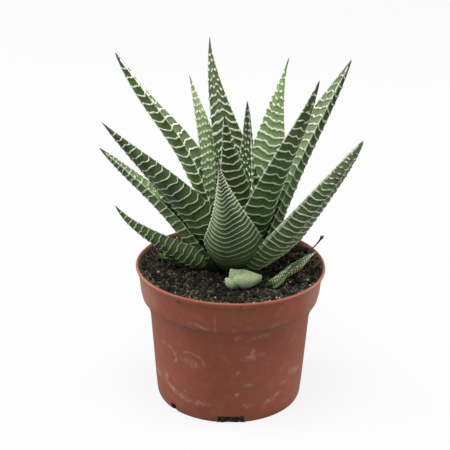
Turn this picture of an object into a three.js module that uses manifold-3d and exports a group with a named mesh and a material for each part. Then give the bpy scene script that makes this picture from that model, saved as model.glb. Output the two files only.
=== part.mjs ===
// Potted haworthia: a rosette of pointed, white-banded leaves in a round plastic nursery pot
// filled with dark potting soil. Millimetres, +Z up, underside of the pot on z = 0, pot axis on Z.
import * as THREE from "three";
import { mergeVertices } from "three/addons/utils/BufferGeometryUtils.js";
import Module from "manifold-3d";

const wasm = await Module();
wasm.setup();

// Pot: an 8.5 cm round nursery pot
const RIM_RADIUS = 42.5;
const POT_HEIGHT = 64;
const LIP_THICKNESS = 1.8;
const COLLAR_TOP_RADIUS = 41.5;
const COLLAR_LOW_RADIUS = 39.4;
const COLLAR_LOW_Z = 49;
const SHOULDER_RADIUS = 35.7;
const SHOULDER_Z = 40.5;
const FOOT_RADIUS = 32.5;
const FOOT_CHAMFER = 2;
const WALL = 1.3;
const FLOOR = 1.6;
const POT_SIDES = 40;
const NOTCH_COUNT = 7;
const NOTCH_WIDTH = 11;
const NOTCH_HEIGHT = 3;
const NOTCH_FIRST_DEG = -88;

// Soil: a crumbly fill up to 4 mm below the rim, heaped a little by the plant and at one side
const SOIL_LEVEL = 60;
const SOIL_RADIUS = 39.6;
const CRUMB_HEIGHT = 0.7;
const SOIL_RINGS = [9, 14, 18.5, 23, 28, 33, 38.2];

// Crown: where the leaves are set round a short root stock
const CROWN_X = 1;
const CROWN_Y = 9;
const STOCK_RADIUS = 9.5;
const STOCK_FOOT_Z = 38;
const STOCK_TOP_Z = 75;
const GAP = 0.3;

// Leaf surface: raised white bands across each leaf
const BAND_PITCH = 5.2;
const BAND_RISE = 0.42;
const BAND_RUN = 1.1;
const BAND_WAVE = 0.35;

// Colours
const POT_COLOR = 0x9a5641;
const SOIL_COLOR = 0x2b211c;
const DEEP_GREEN = 0x36523a;
const MID_GREEN = 0x4c6b41;
const LIGHT_GREEN = 0x7d9d62;
const PALE_GREEN = 0x8fa678;
const STOCK_COLOR = 0x6d7350;
const TWIG_COLOR = 0x4b3a33;
const WEED_COLOR = 0x5d8a35;

// One row for each leaf: heading of its seat round the crown, height of the seat, rise at the seat,
// where the tip ends, full width, roll about its own length, twist from seat to tip, place of the
// keel across the back (-1 to 1), half breadth of the keel, taper towards the tip
const LEAVES = [
  { name: "leaf_front_broad", at: -88, seat: 61, rise: 59, tip: [-6, -43, 132], width: 26,
    flick: 13, pull: 0.4, keel: 0.05, blunt: 0.3, taper: 1.25, waist: 0.52, swell: 0.3,
    color: MID_GREEN },
  { name: "leaf_front_upright", at: -77, seat: 66, rise: 90, tip: [-4, -12, 142], width: 20,
    flick: 8, pull: 0.48, roll: 8, keel: 0.35, blunt: 0.2, color: DEEP_GREEN },
  { name: "leaf_tall_middle", at: 48, seat: 67, rise: 80, tip: [-11, 23, 165], width: 22,
    flick: 20, turn: 35, keel: 0, blunt: 0.2, cup: -0.22, taper: 1.1, color: DEEP_GREEN },
  { name: "leaf_narrow_middle", at: 35, seat: 71, rise: 81, tip: [6, 5, 141], width: 14,
    keel: 0.2, blunt: 0.15, taper: 0.8, color: DEEP_GREEN },
  { name: "leaf_back_right", at: 50, seat: 64, rise: 61, tip: [25, 27, 154], width: 23,
    flick: -6, pull: 0.4, turn: 25, keel: 0, blunt: 0.25, cup: 0.12, taper: 1.18,
    color: LIGHT_GREEN },
  { name: "leaf_back_left", at: 143, seat: 65, rise: 85, tip: [-20, 32, 143], width: 17,
    flick: 5, turn: -25, keel: 0, blunt: 0.2, color: LIGHT_GREEN },
  { name: "leaf_upper_left", at: 150, seat: 68, rise: 80, tip: [-52, 8, 162], width: 19.5,
    flick: 20, turn: 15, roll: 2, twist: 12, keel: 0, blunt: 0.15, color: DEEP_GREEN },
  { name: "leaf_mid_left", at: 202, seat: 63, rise: 68, tip: [-56, -24, 142], width: 25,
    flick: 7, pull: 0.3, roll: 28, keel: 0.5, blunt: 0.12, taper: 0.85, color: DEEP_GREEN },
  { name: "leaf_lower_left", at: 187, seat: 60, rise: 56, tip: [-59, 3, 119], width: 19,
    flick: 5, pull: 0.38, keel: 0.1, blunt: 0.15, taper: 0.95, color: MID_GREEN },
  { name: "leaf_soil_left", at: 207, seat: 58.5, rise: 30, tip: [-52, -2, 93], width: 14,
    flick: 9, roll: 34, keel: -0.1, blunt: 0.35, taper: 0.92, waist: 0.66, color: DEEP_GREEN },
  { name: "leaf_right_front", at: -39, seat: 65, rise: 75, tip: [36, -19, 160], width: 21,
    flick: 10, pull: 0.44, roll: -10, keel: 0.25, blunt: 0.15, color: DEEP_GREEN },
  { name: "leaf_right_tall", at: 12, seat: 63, rise: 65, tip: [51, 5, 161], width: 20,
    pull: 0.39, keel: -0.2, blunt: 0.15, taper: 0.85, color: MID_GREEN },
  { name: "leaf_right_low", at: -40, seat: 59.5, rise: 40, tip: [57, -15, 131], width: 19.5,
    pull: 0.27, roll: -22, turn: 20, keel: -0.1, blunt: 0.38, taper: 0.88, waist: 0.77,
    color: MID_GREEN },
  { name: "leaf_young_left", at: 195, seat: 72, rise: 80, tip: [-7, 4, 122], width: 11,
    keel: 0, blunt: 0.2, color: MID_GREEN },
  { name: "leaf_right_behind", at: 28, seat: 61, rise: 60, tip: [45, 45, 132], width: 18,
    keel: 0, blunt: 0.2, color: DEEP_GREEN },
  { name: "leaf_right_shaded", at: 8, seat: 59, rise: 42, tip: [41, 25, 94], width: 17,
    keel: 0, blunt: 0.2, color: DEEP_GREEN },
  { name: "leaf_rear_middle", at: 98, seat: 62, rise: 55, tip: [-3, 70, 115], width: 19,
    keel: 0, blunt: 0.2, color: MID_GREEN },
  { name: "leaf_rear_right", at: 70, seat: 61, rise: 57, tip: [20, 66, 119], width: 19,
    keel: 0, blunt: 0.2, color: MID_GREEN },
  { name: "leaf_rear_left", at: 124, seat: 62, rise: 62, tip: [-26, 56, 107], width: 16,
    keel: 0, blunt: 0.2, color: MID_GREEN },
  { name: "leaf_rear_low_left", at: 122, seat: 59, rise: 34, tip: [-14, 68, 83], width: 18,
    flick: 6, keel: 0, blunt: 0.25, color: MID_GREEN },
  { name: "leaf_rear_low_right", at: 76, seat: 59, rise: 30, tip: [16, 70, 82], width: 18,
    flick: 6, keel: 0, blunt: 0.25, color: DEEP_GREEN },
];

// Small helpers
const rad = (deg) => (deg * Math.PI) / 180;
const clamp = (x, lo, hi) => Math.min(hi, Math.max(lo, x));
const mix = (a, b, t) => a + (b - a) * clamp(t, 0, 1);
const V = (x, y, z) => new THREE.Vector3(x, y, z);

// Piecewise straight line through [x, y] pairs
function ramp(x, pairs) {
  if (x <= pairs[0][0]) return pairs[0][1];
  for (let i = 1; i < pairs.length; i += 1) {
    const [x0, y0] = pairs[i - 1];
    const [x1, y1] = pairs[i];
    if (x <= x1) return mix(y0, y1, (x - x0) / (x1 - x0));
  }
  return pairs[pairs.length - 1][1];
}

const stockRadius = (z) => ramp(z, [[STOCK_FOOT_Z, 5], [50, STOCK_RADIUS], [57, 9], [74, 3]]);

function solid(geometry) {
  const g = geometry.clone();
  for (const key of Object.keys(g.attributes)) {
    if (key !== "position") g.deleteAttribute(key);
  }
  const m = mergeVertices(g, 1e-4);
  return new wasm.Manifold(new wasm.Mesh({
    numProp: 3,
    vertProperties: new Float32Array(m.attributes.position.array),
    triVerts: new Uint32Array(m.index.array),
  }));
}

function surface(body) {
  const out = body.getMesh();
  const g = new THREE.BufferGeometry();
  g.setAttribute("position", new THREE.BufferAttribute(new Float32Array(out.vertProperties), 3));
  g.setIndex(new THREE.BufferAttribute(new Uint32Array(out.triVerts), 1));
  return g;
}

function largest(body) {
  const parts = body.decompose();
  return parts.reduce((a, b) => (b.volume() > a.volume() ? b : a));
}

const centre = (ring) =>
  ring.reduce((sum, p) => sum.add(p), V(0, 0, 0)).divideScalar(ring.length);

// A closed skin over rings of points, with a point at each end
function skin(rings, first, last) {
  const pos = [];
  const index = [];
  const n = rings[0].length;
  for (const ring of rings) {
    for (const p of ring) pos.push(p.x, p.y, p.z);
  }
  pos.push(first.x, first.y, first.z, last.x, last.y, last.z);
  const a = rings.length * n;
  const b = a + 1;
  for (let j = 0; j < n; j += 1) {
    const k = (j + 1) % n;
    index.push(a, k, j);
    const base = (rings.length - 1) * n;
    index.push(b, base + j, base + k);
    for (let i = 0; i + 1 < rings.length; i += 1) {
      const p = i * n + j;
      const q = i * n + k;
      index.push(p, q, q + n, p, q + n, p + n);
    }
  }
  const g = new THREE.BufferGeometry();
  g.setAttribute("position", new THREE.BufferAttribute(new Float32Array(pos), 3));
  g.setIndex(index);
  return g;
}

// Midline of a leaf: a smooth bend from its seat on the crown to its tip
function midline(leaf) {
  const a = rad(leaf.at);
  const r = Math.max(stockRadius(leaf.seat) - 2, 0.5);
  const from = V(CROWN_X + r * Math.cos(a), CROWN_Y + r * Math.sin(a), leaf.seat);
  const to = V(...leaf.tip);
  const chord = to.clone().sub(from);
  const span = chord.length();
  chord.normalize();
  const e = rad(leaf.rise);
  const out = V(Math.cos(e) * Math.cos(a), Math.cos(e) * Math.sin(a), Math.sin(e));
  const end = chord.clone().multiplyScalar(2 * out.dot(chord)).sub(out);
  if (leaf.flick) {
    const side = end.clone().cross(V(0, 0, 1)).normalize();
    end.applyAxisAngle(side, rad(leaf.flick));
  }
  const pull = span * (leaf.pull ?? 0.36);
  return new THREE.CubicBezierCurve3(
    from, from.clone().addScaledVector(out, pull), to.clone().addScaledVector(end, -pull), to);
}

// Half width along the leaf: widest near the seat, then a long taper to a fine point
function halfWidth(leaf, f) {
  const full = leaf.width / 2;
  const swell = leaf.swell ?? 0.22;
  const waist = leaf.waist ?? 0.72;
  const taper = leaf.taper ?? 1;
  if (f < swell) return full * (waist + (1 - waist) * Math.sin((Math.PI / 2) * (f / swell)));
  return Math.max(full * ((1 - f) / (1 - swell)) ** taper, 0.4);
}

// Cross section: a shallow face above, a keeled back below, as [across, up] in half widths
function section(leaf, f) {
  const thick = ramp(f, [[0, 0.5], [0.25, 0.68], [0.6, 0.78], [1, 0.95]]);
  const cup = ramp(f, [[0, -0.22], [0.35, leaf.cup ?? -0.06], [0.7, leaf.cup ?? 0.05], [1, 0.45]]);
  const lo = leaf.keel - leaf.blunt;
  const hi = leaf.keel + leaf.blunt;
  return [
    [1, 0], [0, cup], [-1, 0],
    [(lo - 1) / 2 - 0.08, -thick * 0.62], [lo, -thick], [hi, -thick],
    [(hi + 1) / 2 + 0.08, -thick * 0.62],
  ];
}

function leafRing(leaf, curve, f, place) {
  const p = curve.getPointAt(clamp(f, 0, 1));
  const t = curve.getTangentAt(clamp(f, 0, 1));
  const a = rad(leaf.at + (leaf.turn ?? 0));
  const side = V(-Math.sin(a), Math.cos(a), 0);
  side.addScaledVector(t, -side.dot(t)).normalize();
  const up = t.clone().cross(side);
  const roll = rad((leaf.roll ?? 0) + (leaf.twist ?? 0) * f);
  const S = side.clone().multiplyScalar(Math.cos(roll)).addScaledVector(up, Math.sin(roll));
  const N = up.clone().multiplyScalar(Math.cos(roll)).addScaledVector(side, -Math.sin(roll));
  const w = halfWidth(leaf, f);
  return place(section(leaf, f), w).map(([x, y, along]) =>
    p.clone().addScaledVector(S, x).addScaledVector(N, y).addScaledVector(t, along));
}

// Points of one ring of the skin: raised on a band, and shifted along the leaf so bands waver
function skinRing(leaf, curve, f, rise, k) {
  return leafRing(leaf, curve, f, (points, w) => {
    const lift = rise * Math.min(1, w / 3);
    const drift = rise > 0 ? BAND_WAVE * Math.min(1, w / 3) : 0;
    return points.map(([u, v], j) => {
      const margin = j === 0 || j === 2;
      const x = u * w + Math.sign(u) * lift * (margin ? 0.6 : 0.4 * Math.abs(u));
      const y = v * w + (margin ? 0 : j === 1 ? lift * 0.7 : -lift);
      return [x, y, drift * Math.sin(3.3 * u + 1.9 * k + leaf.at)];
    });
  });
}

// The same ring grown by a distance, with square margins
function roomRing(leaf, curve, f, grow) {
  return leafRing(leaf, curve, f, (points, w) => {
    const out = [];
    points.forEach(([u, v], j) => {
      const x = u * w + Math.sign(u) * grow * (j === 0 || j === 2 ? 1 : 0.5 * Math.abs(u));
      if (j === 0) out.push([x, -grow * 0.5, 0], [x, grow, 0]);
      else if (j === 1) out.push([x, v * w + grow, 0]);
      else if (j === 2) out.push([x, grow, 0], [x, -grow * 0.5, 0]);
      else out.push([x, v * w - grow, 0]);
    });
    return out;
  });
}

// A leaf with its raised bands; the last stretch before the tip is smooth
function leafGeometry(leaf) {
  const curve = midline(leaf);
  const length = curve.getLength();
  const rings = [skinRing(leaf, curve, 0, 0, 0)];
  const bands = Math.floor((length * 0.9 - 4) / BAND_PITCH);
  for (let k = 0; k < bands; k += 1) {
    const s = 4 + k * BAND_PITCH;
    rings.push(skinRing(leaf, curve, s / length, 0, k));
    rings.push(skinRing(leaf, curve, (s + BAND_RUN) / length, BAND_RISE, k));
  }
  rings.push(skinRing(leaf, curve, (4 + bands * BAND_PITCH) / length, 0, 0));
  rings.push(skinRing(leaf, curve, 0.965, 0, 0));
  return skin(rings, centre(rings[0]), curve.getPointAt(1));
}

// The room that a leaf takes up, with a small gap all round
function leafRoom(leaf) {
  const curve = midline(leaf);
  const rings = [];
  for (let i = 0; i <= 12; i += 1) {
    rings.push(roomRing(leaf, curve, (i / 12) ** 1.3, BAND_RISE + GAP));
  }
  const t0 = curve.getTangentAt(0);
  const t1 = curve.getTangentAt(1);
  rings.unshift(rings[0].map((p) => p.clone().addScaledVector(t0, -0.8)));
  const last = curve.getPointAt(1).addScaledVector(t1, 0.8);
  return skin(rings, centre(rings[0]), last);
}

function lathe(points, sides) {
  const g = new THREE.LatheGeometry(points.map(([r, z]) => new THREE.Vector2(r, z)), sides);
  g.rotateX(Math.PI / 2);
  return g;
}

// Pot shell with a rounded lip, a tapered collar, a shoulder and drain notches at the foot
function potSolid() {
  const shell = solid(lathe([
    [0, 0],
    [FOOT_RADIUS - FOOT_CHAMFER, 0],
    [FOOT_RADIUS, FOOT_CHAMFER],
    [SHOULDER_RADIUS, SHOULDER_Z],
    [SHOULDER_RADIUS + 1.9, SHOULDER_Z + 3.2],
    [COLLAR_LOW_RADIUS - 0.4, COLLAR_LOW_Z - 2.4],
    [COLLAR_LOW_RADIUS + 0.1, COLLAR_LOW_Z + 0.6],
    [COLLAR_TOP_RADIUS - 0.2, POT_HEIGHT - 3.4],
    [RIM_RADIUS - 0.3, POT_HEIGHT - LIP_THICKNESS - 0.4],
    [RIM_RADIUS, POT_HEIGHT - LIP_THICKNESS + 0.4],
    [RIM_RADIUS, POT_HEIGHT - 0.6],
    [RIM_RADIUS - 0.6, POT_HEIGHT],
    [COLLAR_TOP_RADIUS - 0.6, POT_HEIGHT],
    [COLLAR_TOP_RADIUS - WALL, POT_HEIGHT - 0.9],
    [COLLAR_LOW_RADIUS - WALL - 0.3, COLLAR_LOW_Z - 1],
    [SHOULDER_RADIUS - WALL, SHOULDER_Z],
    [FOOT_RADIUS - WALL, FLOOR],
    [0, FLOOR],
  ], POT_SIDES));
  let body = shell;
  for (let i = 0; i < NOTCH_COUNT; i += 1) {
    const a = rad(NOTCH_FIRST_DEG + (i * 360) / NOTCH_COUNT);
    const box = new THREE.BoxGeometry(7, NOTCH_WIDTH, NOTCH_HEIGHT * 2);
    box.rotateZ(a);
    box.translate(FOOT_RADIUS * Math.cos(a), FOOT_RADIUS * Math.sin(a), 0);
    body = body.subtract(solid(box));
  }
  return body;
}

// Height of the soil at a place: crumbs, a low heap by the plant and a bank at the right rear
function soilHeight(x, y) {
  const r = Math.hypot(x, y);
  const a = Math.atan2(y, x);
  const crumbs = Math.sin(x * 0.61 + 1.3) * Math.cos(y * 0.57 - 0.4)
    + 0.6 * Math.sin(x * 1.13 - y * 0.87) + 0.4 * Math.cos(x * 0.31 + y * 1.41);
  const near = Math.hypot(x - CROWN_X, y - CROWN_Y);
  const heap = 1.4 * Math.exp(-((near / 17) ** 2));
  const bank = 3.2 * Math.exp(-(((a - rad(22)) / 0.42) ** 2)) * clamp((r - 24) / 14, 0, 1);
  return SOIL_LEVEL - 0.6 + crumbs * CRUMB_HEIGHT * 0.5 + heap + bank;
}

function soilSolid() {
  const rings = [];
  const ring = (r, height) => {
    const pts = [];
    for (let i = 0; i < POT_SIDES; i += 1) {
      const a = (i * 2 * Math.PI) / POT_SIDES;
      const x = r * Math.cos(a);
      const y = r * Math.sin(a);
      pts.push(V(x, y, height === undefined ? soilHeight(x, y) : height));
    }
    return pts;
  };
  const under = (r, z) => rings.push(ring(r, z));
  const gap = WALL + GAP;
  under(FOOT_RADIUS - gap - 0.2, FLOOR + GAP);
  under(SHOULDER_RADIUS - gap - 0.2, SHOULDER_Z);
  under(COLLAR_LOW_RADIUS - gap - 0.5, COLLAR_LOW_Z - 1);
  const edge = ring(SOIL_RADIUS - 0.6);
  for (const p of edge) p.z -= 0.6;
  rings.push(edge.map((p) => V(p.x * 1.004, p.y * 1.004, p.z)));
  for (const r of [...SOIL_RINGS].reverse()) under(r);
  under(6);
  const top = V(0, 0, soilHeight(0, 0));
  const fill = solid(skin(rings, V(0, 0, FLOOR + GAP), top));
  const bore = new THREE.CylinderGeometry(STOCK_RADIUS + GAP + 0.1, STOCK_RADIUS + GAP + 0.1, 60, 28);
  bore.rotateX(Math.PI / 2);
  bore.translate(CROWN_X, CROWN_Y, STOCK_FOOT_Z - GAP + 30);
  return { fill, bored: fill.subtract(solid(bore)) };
}

// Short root stock that carries the leaves
function stockSolid(grow) {
  const g = lathe([
    [0, STOCK_FOOT_Z - grow],
    [5 + grow, STOCK_FOOT_Z - grow],
    [STOCK_RADIUS + grow, 50],
    [9 + grow, 57],
    [3 + grow, 74 + grow],
    [0, STOCK_TOP_Z + grow],
  ], 20);
  g.translate(CROWN_X, CROWN_Y, 0);
  return solid(g);
}

// A small leaf given by its two ends, for the offsets and the weed
function smallLeaf(from, to, sag, width, thick, bands) {
  const a = V(...from);
  const b = V(...to);
  const mid = a.clone().lerp(b, 0.5).add(V(0, 0, sag));
  const curve = new THREE.QuadraticBezierCurve3(a, mid, b);
  const along = b.clone().sub(a);
  const side = V(-along.y, along.x, 0).normalize();
  const rings = [];
  const steps = bands * 2 + 2;
  for (let i = 0; i < steps; i += 1) {
    const f = (i / (steps - 1)) * 0.93;
    const p = curve.getPoint(f);
    const t = curve.getTangent(f);
    const up = side.clone().cross(t).negate();
    const w = (width / 2) * Math.sin(Math.PI * clamp(0.28 + 0.72 * f, 0, 1)) ** 0.7 + 0.25;
    const h = (thick / 2) * (1 - 0.5 * f) + (i % 2 === 1 && bands > 3 ? 0.22 : 0);
    rings.push([[1, 0], [0.5, 0.8], [-0.5, 0.8], [-1, 0], [-0.45, -1], [0.45, -1]].map(([u, v]) =>
      p.clone().addScaledVector(side, u * w).addScaledVector(up, v * h)));
  }
  return solid(skin(rings, a, b));
}

const group = new THREE.Group();
group.name = "potted_haworthia";

function add(name, body, color, roughness) {
  const g = surface(body).toNonIndexed();
  g.computeVertexNormals();
  const material = new THREE.MeshStandardMaterial({ color, roughness, metalness: 0 });
  const mesh = new THREE.Mesh(g, material);
  mesh.name = name;
  group.add(mesh);
}

const soil = soilSolid();
const soilRoom = soil.fill.translate([0, 0, GAP]);
const stock = stockSolid(0);
const stockRoom = stockSolid(GAP);

add("pot", potSolid(), POT_COLOR, 0.55);

// Leaves from the heart outwards: each one is cut to clear the younger ones inside it
const order = [...LEAVES].sort((a, b) => b.seat - a.seat);
const rooms = [];
for (const leaf of order) {
  let body = solid(leafGeometry(leaf)).subtract(stockRoom).subtract(soilRoom);
  for (const room of rooms) body = body.subtract(room);
  add(leaf.name, largest(body), leaf.color, 0.5);
  rooms.push(solid(leafRoom(leaf)));
}

// Offsets: a stubby one in front and a small one with three leaves at the right
const frontOffset = smallLeaf([13, -11.5, 60.5], [-4, -13.5, 64], 3, 9, 6, 4);
const rightOffset = smallLeaf([17, -12.5, 60.4], [31.5, -1, 66], 0.5, 5, 3.6, 5)
  .add(smallLeaf([21, -9, 60.6], [39.3, 7.3, 67.5], -0.5, 5, 3.2, 5))
  .add(smallLeaf([18.5, -14, 61], [29, -2.5, 64], 0.2, 3, 2, 2));
const keepClear = (body) => {
  let out = body.subtract(soilRoom).subtract(stockRoom);
  for (const room of rooms) out = out.subtract(room);
  return largest(out);
};
const frontBody = keepClear(frontOffset);
const rightBody = keepClear(rightOffset);
add("offset_front", frontBody, PALE_GREEN, 0.55);
add("offset_right", rightBody, MID_GREEN, 0.55);
add("root_stock", stock, STOCK_COLOR, 0.8);

// Weed seedling and a dry stalk, each standing in its own small hole in the soil
const holeAt = (x, y, r, depth) => {
  const g = new THREE.CylinderGeometry(r, r, depth + 8, 10);
  g.rotateX(Math.PI / 2);
  g.translate(x, y, soilHeight(x, y) - depth / 2 + 4);
  return solid(g);
};
const WEED = [-31.4, 11.8];
const weedZ = soilHeight(...WEED);
const weedStem = new THREE.CylinderGeometry(0.5, 0.5, 5, 8);
weedStem.rotateX(Math.PI / 2);
weedStem.translate(WEED[0], WEED[1], weedZ - 0.5);
let weed = solid(weedStem);
for (const [dx, dy, dz] of [[-3.5, -1.2, 2.6], [3, -2.2, 2.9], [0.6, 3.4, 3]]) {
  weed = weed.add(smallLeaf([WEED[0], WEED[1], weedZ + 1.2],
    [WEED[0] + dx, WEED[1] + dy, weedZ + dz], 0.8, 2.2, 0.9, 1));
}
add("weed_seedling", weed, WEED_COLOR, 0.6);

const TWIG = [34.5, 14.3];
const twigZ = soilHeight(...TWIG);
const twigPath = [[0, 0, -4], [0.2, 0.1, 0.6], [2.4, 1.6, 2.8], [4.8, 3.2, 4], [6.6, 4.6, 5.6]];
const twigRing = ([dx, dy, dz], r) => {
  const ring = [];
  for (let i = 0; i < 8; i += 1) {
    const a = (i * Math.PI) / 4;
    ring.push(V(TWIG[0] + dx + r * Math.cos(a), TWIG[1] + dy + r * Math.sin(a), twigZ + dz));
  }
  return ring;
};
const twigRadii = [0.45, 0.45, 0.4, 0.4, 0.85];
const twigRings = twigPath.map((p, i) => twigRing(p, twigRadii[i]));
twigRings.push(twigRing([7.4, 5.2, 6.6], 0.8));
add("dry_stalk", solid(skin(twigRings, V(TWIG[0], TWIG[1], twigZ - 4.2),
  V(TWIG[0] + 8, TWIG[1] + 5.6, twigZ + 7.4))), TWIG_COLOR, 0.9);

const soilBody = soil.bored
  .subtract(holeAt(...WEED, 0.8 + GAP * 0.5, 3.4))
  .subtract(holeAt(...TWIG, 0.75, 4.8));
add("soil", soilBody, SOIL_COLOR, 0.95);

export default group;
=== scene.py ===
import math
import random

import bpy
import numpy as np
from mathutils import Matrix, Vector, noise


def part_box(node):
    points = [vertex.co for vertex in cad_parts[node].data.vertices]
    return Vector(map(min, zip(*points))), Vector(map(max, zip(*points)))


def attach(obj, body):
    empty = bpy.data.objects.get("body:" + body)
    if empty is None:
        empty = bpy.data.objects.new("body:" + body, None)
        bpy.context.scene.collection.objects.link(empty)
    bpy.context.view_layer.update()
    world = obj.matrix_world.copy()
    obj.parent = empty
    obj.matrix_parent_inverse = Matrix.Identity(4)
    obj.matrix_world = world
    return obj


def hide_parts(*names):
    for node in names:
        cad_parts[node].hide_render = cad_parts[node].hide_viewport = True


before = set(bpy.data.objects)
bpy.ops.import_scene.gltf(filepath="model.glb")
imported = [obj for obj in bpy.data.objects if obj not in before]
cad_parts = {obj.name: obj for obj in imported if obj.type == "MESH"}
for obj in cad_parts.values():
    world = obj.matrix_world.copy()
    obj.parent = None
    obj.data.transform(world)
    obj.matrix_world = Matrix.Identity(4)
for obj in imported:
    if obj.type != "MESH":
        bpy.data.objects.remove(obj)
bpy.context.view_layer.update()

# Potted haworthia: white-banded leaves in a plastic nursery pot of dark soil.
# Tables are in millimetres, as the frame's own drawing is; MM turns them into metres.
MM = 0.001

bpy.ops.object.select_all(action="DESELECT")


# Camera, floor and light

# how bright the room is below, above and at the wall behind, and the floor itself
TABLE_GLOW = 0.4
CEILING_GLOW = 0.3
BACKDROP_GLOW = 0.955
FLOOR_GLOW = 0.84
# foot and top of the bright wall behind, as the upward part of the direction looked in
WALL_FOOT = (-0.08, -0.04)
WALL_TOP = (0.22, 0.14)
PLANT_MIDDLE = Vector((0, 0, 0.08))
# name, place and size in metres, power in watts
LIGHTS = [("light_above", (-0.08, -0.25, 1.2), 1.0, 15), ("light_left", (-1.1, 0.25, 0.45), 0.8, 9),
          ("light_right", (1.1, 0.25, 0.45), 0.8, 8)]


def set_camera(pitch=24.4, roll=0.8, distance=900, target=(-2.75, 0, 83.4), lens=160.8):
    """A long lens, looking down by the pitch at the target from a distance in millimetres"""
    p = math.radians(pitch)
    r = math.radians(roll)
    back = Vector((0, -math.cos(p), math.sin(p)))
    up = Vector((0, math.sin(p), math.cos(p)))
    side = Vector((1, 0, 0))
    level = side * math.cos(r) + up * math.sin(r)
    tall = up * math.cos(r) - side * math.sin(r)
    place = (Vector(target) + back * distance) * MM
    bpy.ops.object.camera_add(location=place)
    camera = bpy.context.object
    camera.name = "camera"
    turn = Matrix((level, tall, back)).transposed().to_4x4()
    camera.matrix_world = Matrix.Translation(place) @ turn
    camera.data.lens = lens
    camera.data.sensor_width = 36
    camera.data.clip_end = 30
    bpy.context.scene.camera = camera


def soft_light(name, place, size, power):
    bpy.ops.object.light_add(type="AREA", location=place)
    lamp = bpy.context.object
    lamp.name = name
    lamp.data.shape = "DISK"
    lamp.data.size = size
    lamp.data.energy = power
    aim = PLANT_MIDDLE - Vector(place)
    lamp.rotation_euler = aim.to_track_quat("-Z", "Y").to_euler()


def studio():
    """A white table and backdrop under a soft box, with a light at each side"""
    bpy.context.scene.view_settings.view_transform = "Standard"
    world = bpy.data.worlds.new("white_room")
    world.use_nodes = True
    room = Graph(world.node_tree)
    background = world.node_tree.nodes["Background"]
    background.inputs["Color"].default_value = (1, 1, 1, 1)
    way = room.add("ShaderNodeTexCoord").outputs["Generated"]
    height = room.add("ShaderNodeSeparateXYZ", {0: way}).outputs["Z"]
    wall = room.times(room.spread(height, *WALL_FOOT), room.spread(height, *WALL_TOP))
    plain = room.spread(height, -0.1, 0.3, TABLE_GLOW, CEILING_GLOW)
    room.feed(background.inputs["Strength"],
              room.maths("MULTIPLY_ADD", wall, room.maths("SUBTRACT", BACKDROP_GLOW, plain), plain))
    bpy.context.scene.world = world
    for light in LIGHTS:
        soft_light(*light)
    bpy.ops.mesh.primitive_plane_add(size=8)
    floor = bpy.context.object
    floor.name = "floor"
    floor.visible_diffuse = False
    floor.visible_glossy = False
    paint, g = new_material("pale_floor")
    g.dress((0.1, 0.1, 0.1, 1), 0.9, 0.0)
    g.shader().inputs["Emission Color"].default_value = (1, 1, 1, 1)
    g.shader().inputs["Emission Strength"].default_value = FLOOR_GLOW
    floor.data.materials.append(paint)


# Shader helpers

# how much finer the small mottling is than the large, and the height of its bumps in metres
FINER = 9.0
BUMP_HEIGHT = 0.0004


def linear(code):
    """A colour written as 0xRRGGBB, as the shader wants it"""
    parts = [(code >> shift & 255) / 255 for shift in (16, 8, 0)]
    return (*[c / 12.92 if c <= 0.04045 else ((c + 0.055) / 1.055) ** 2.4 for c in parts], 1)


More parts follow.
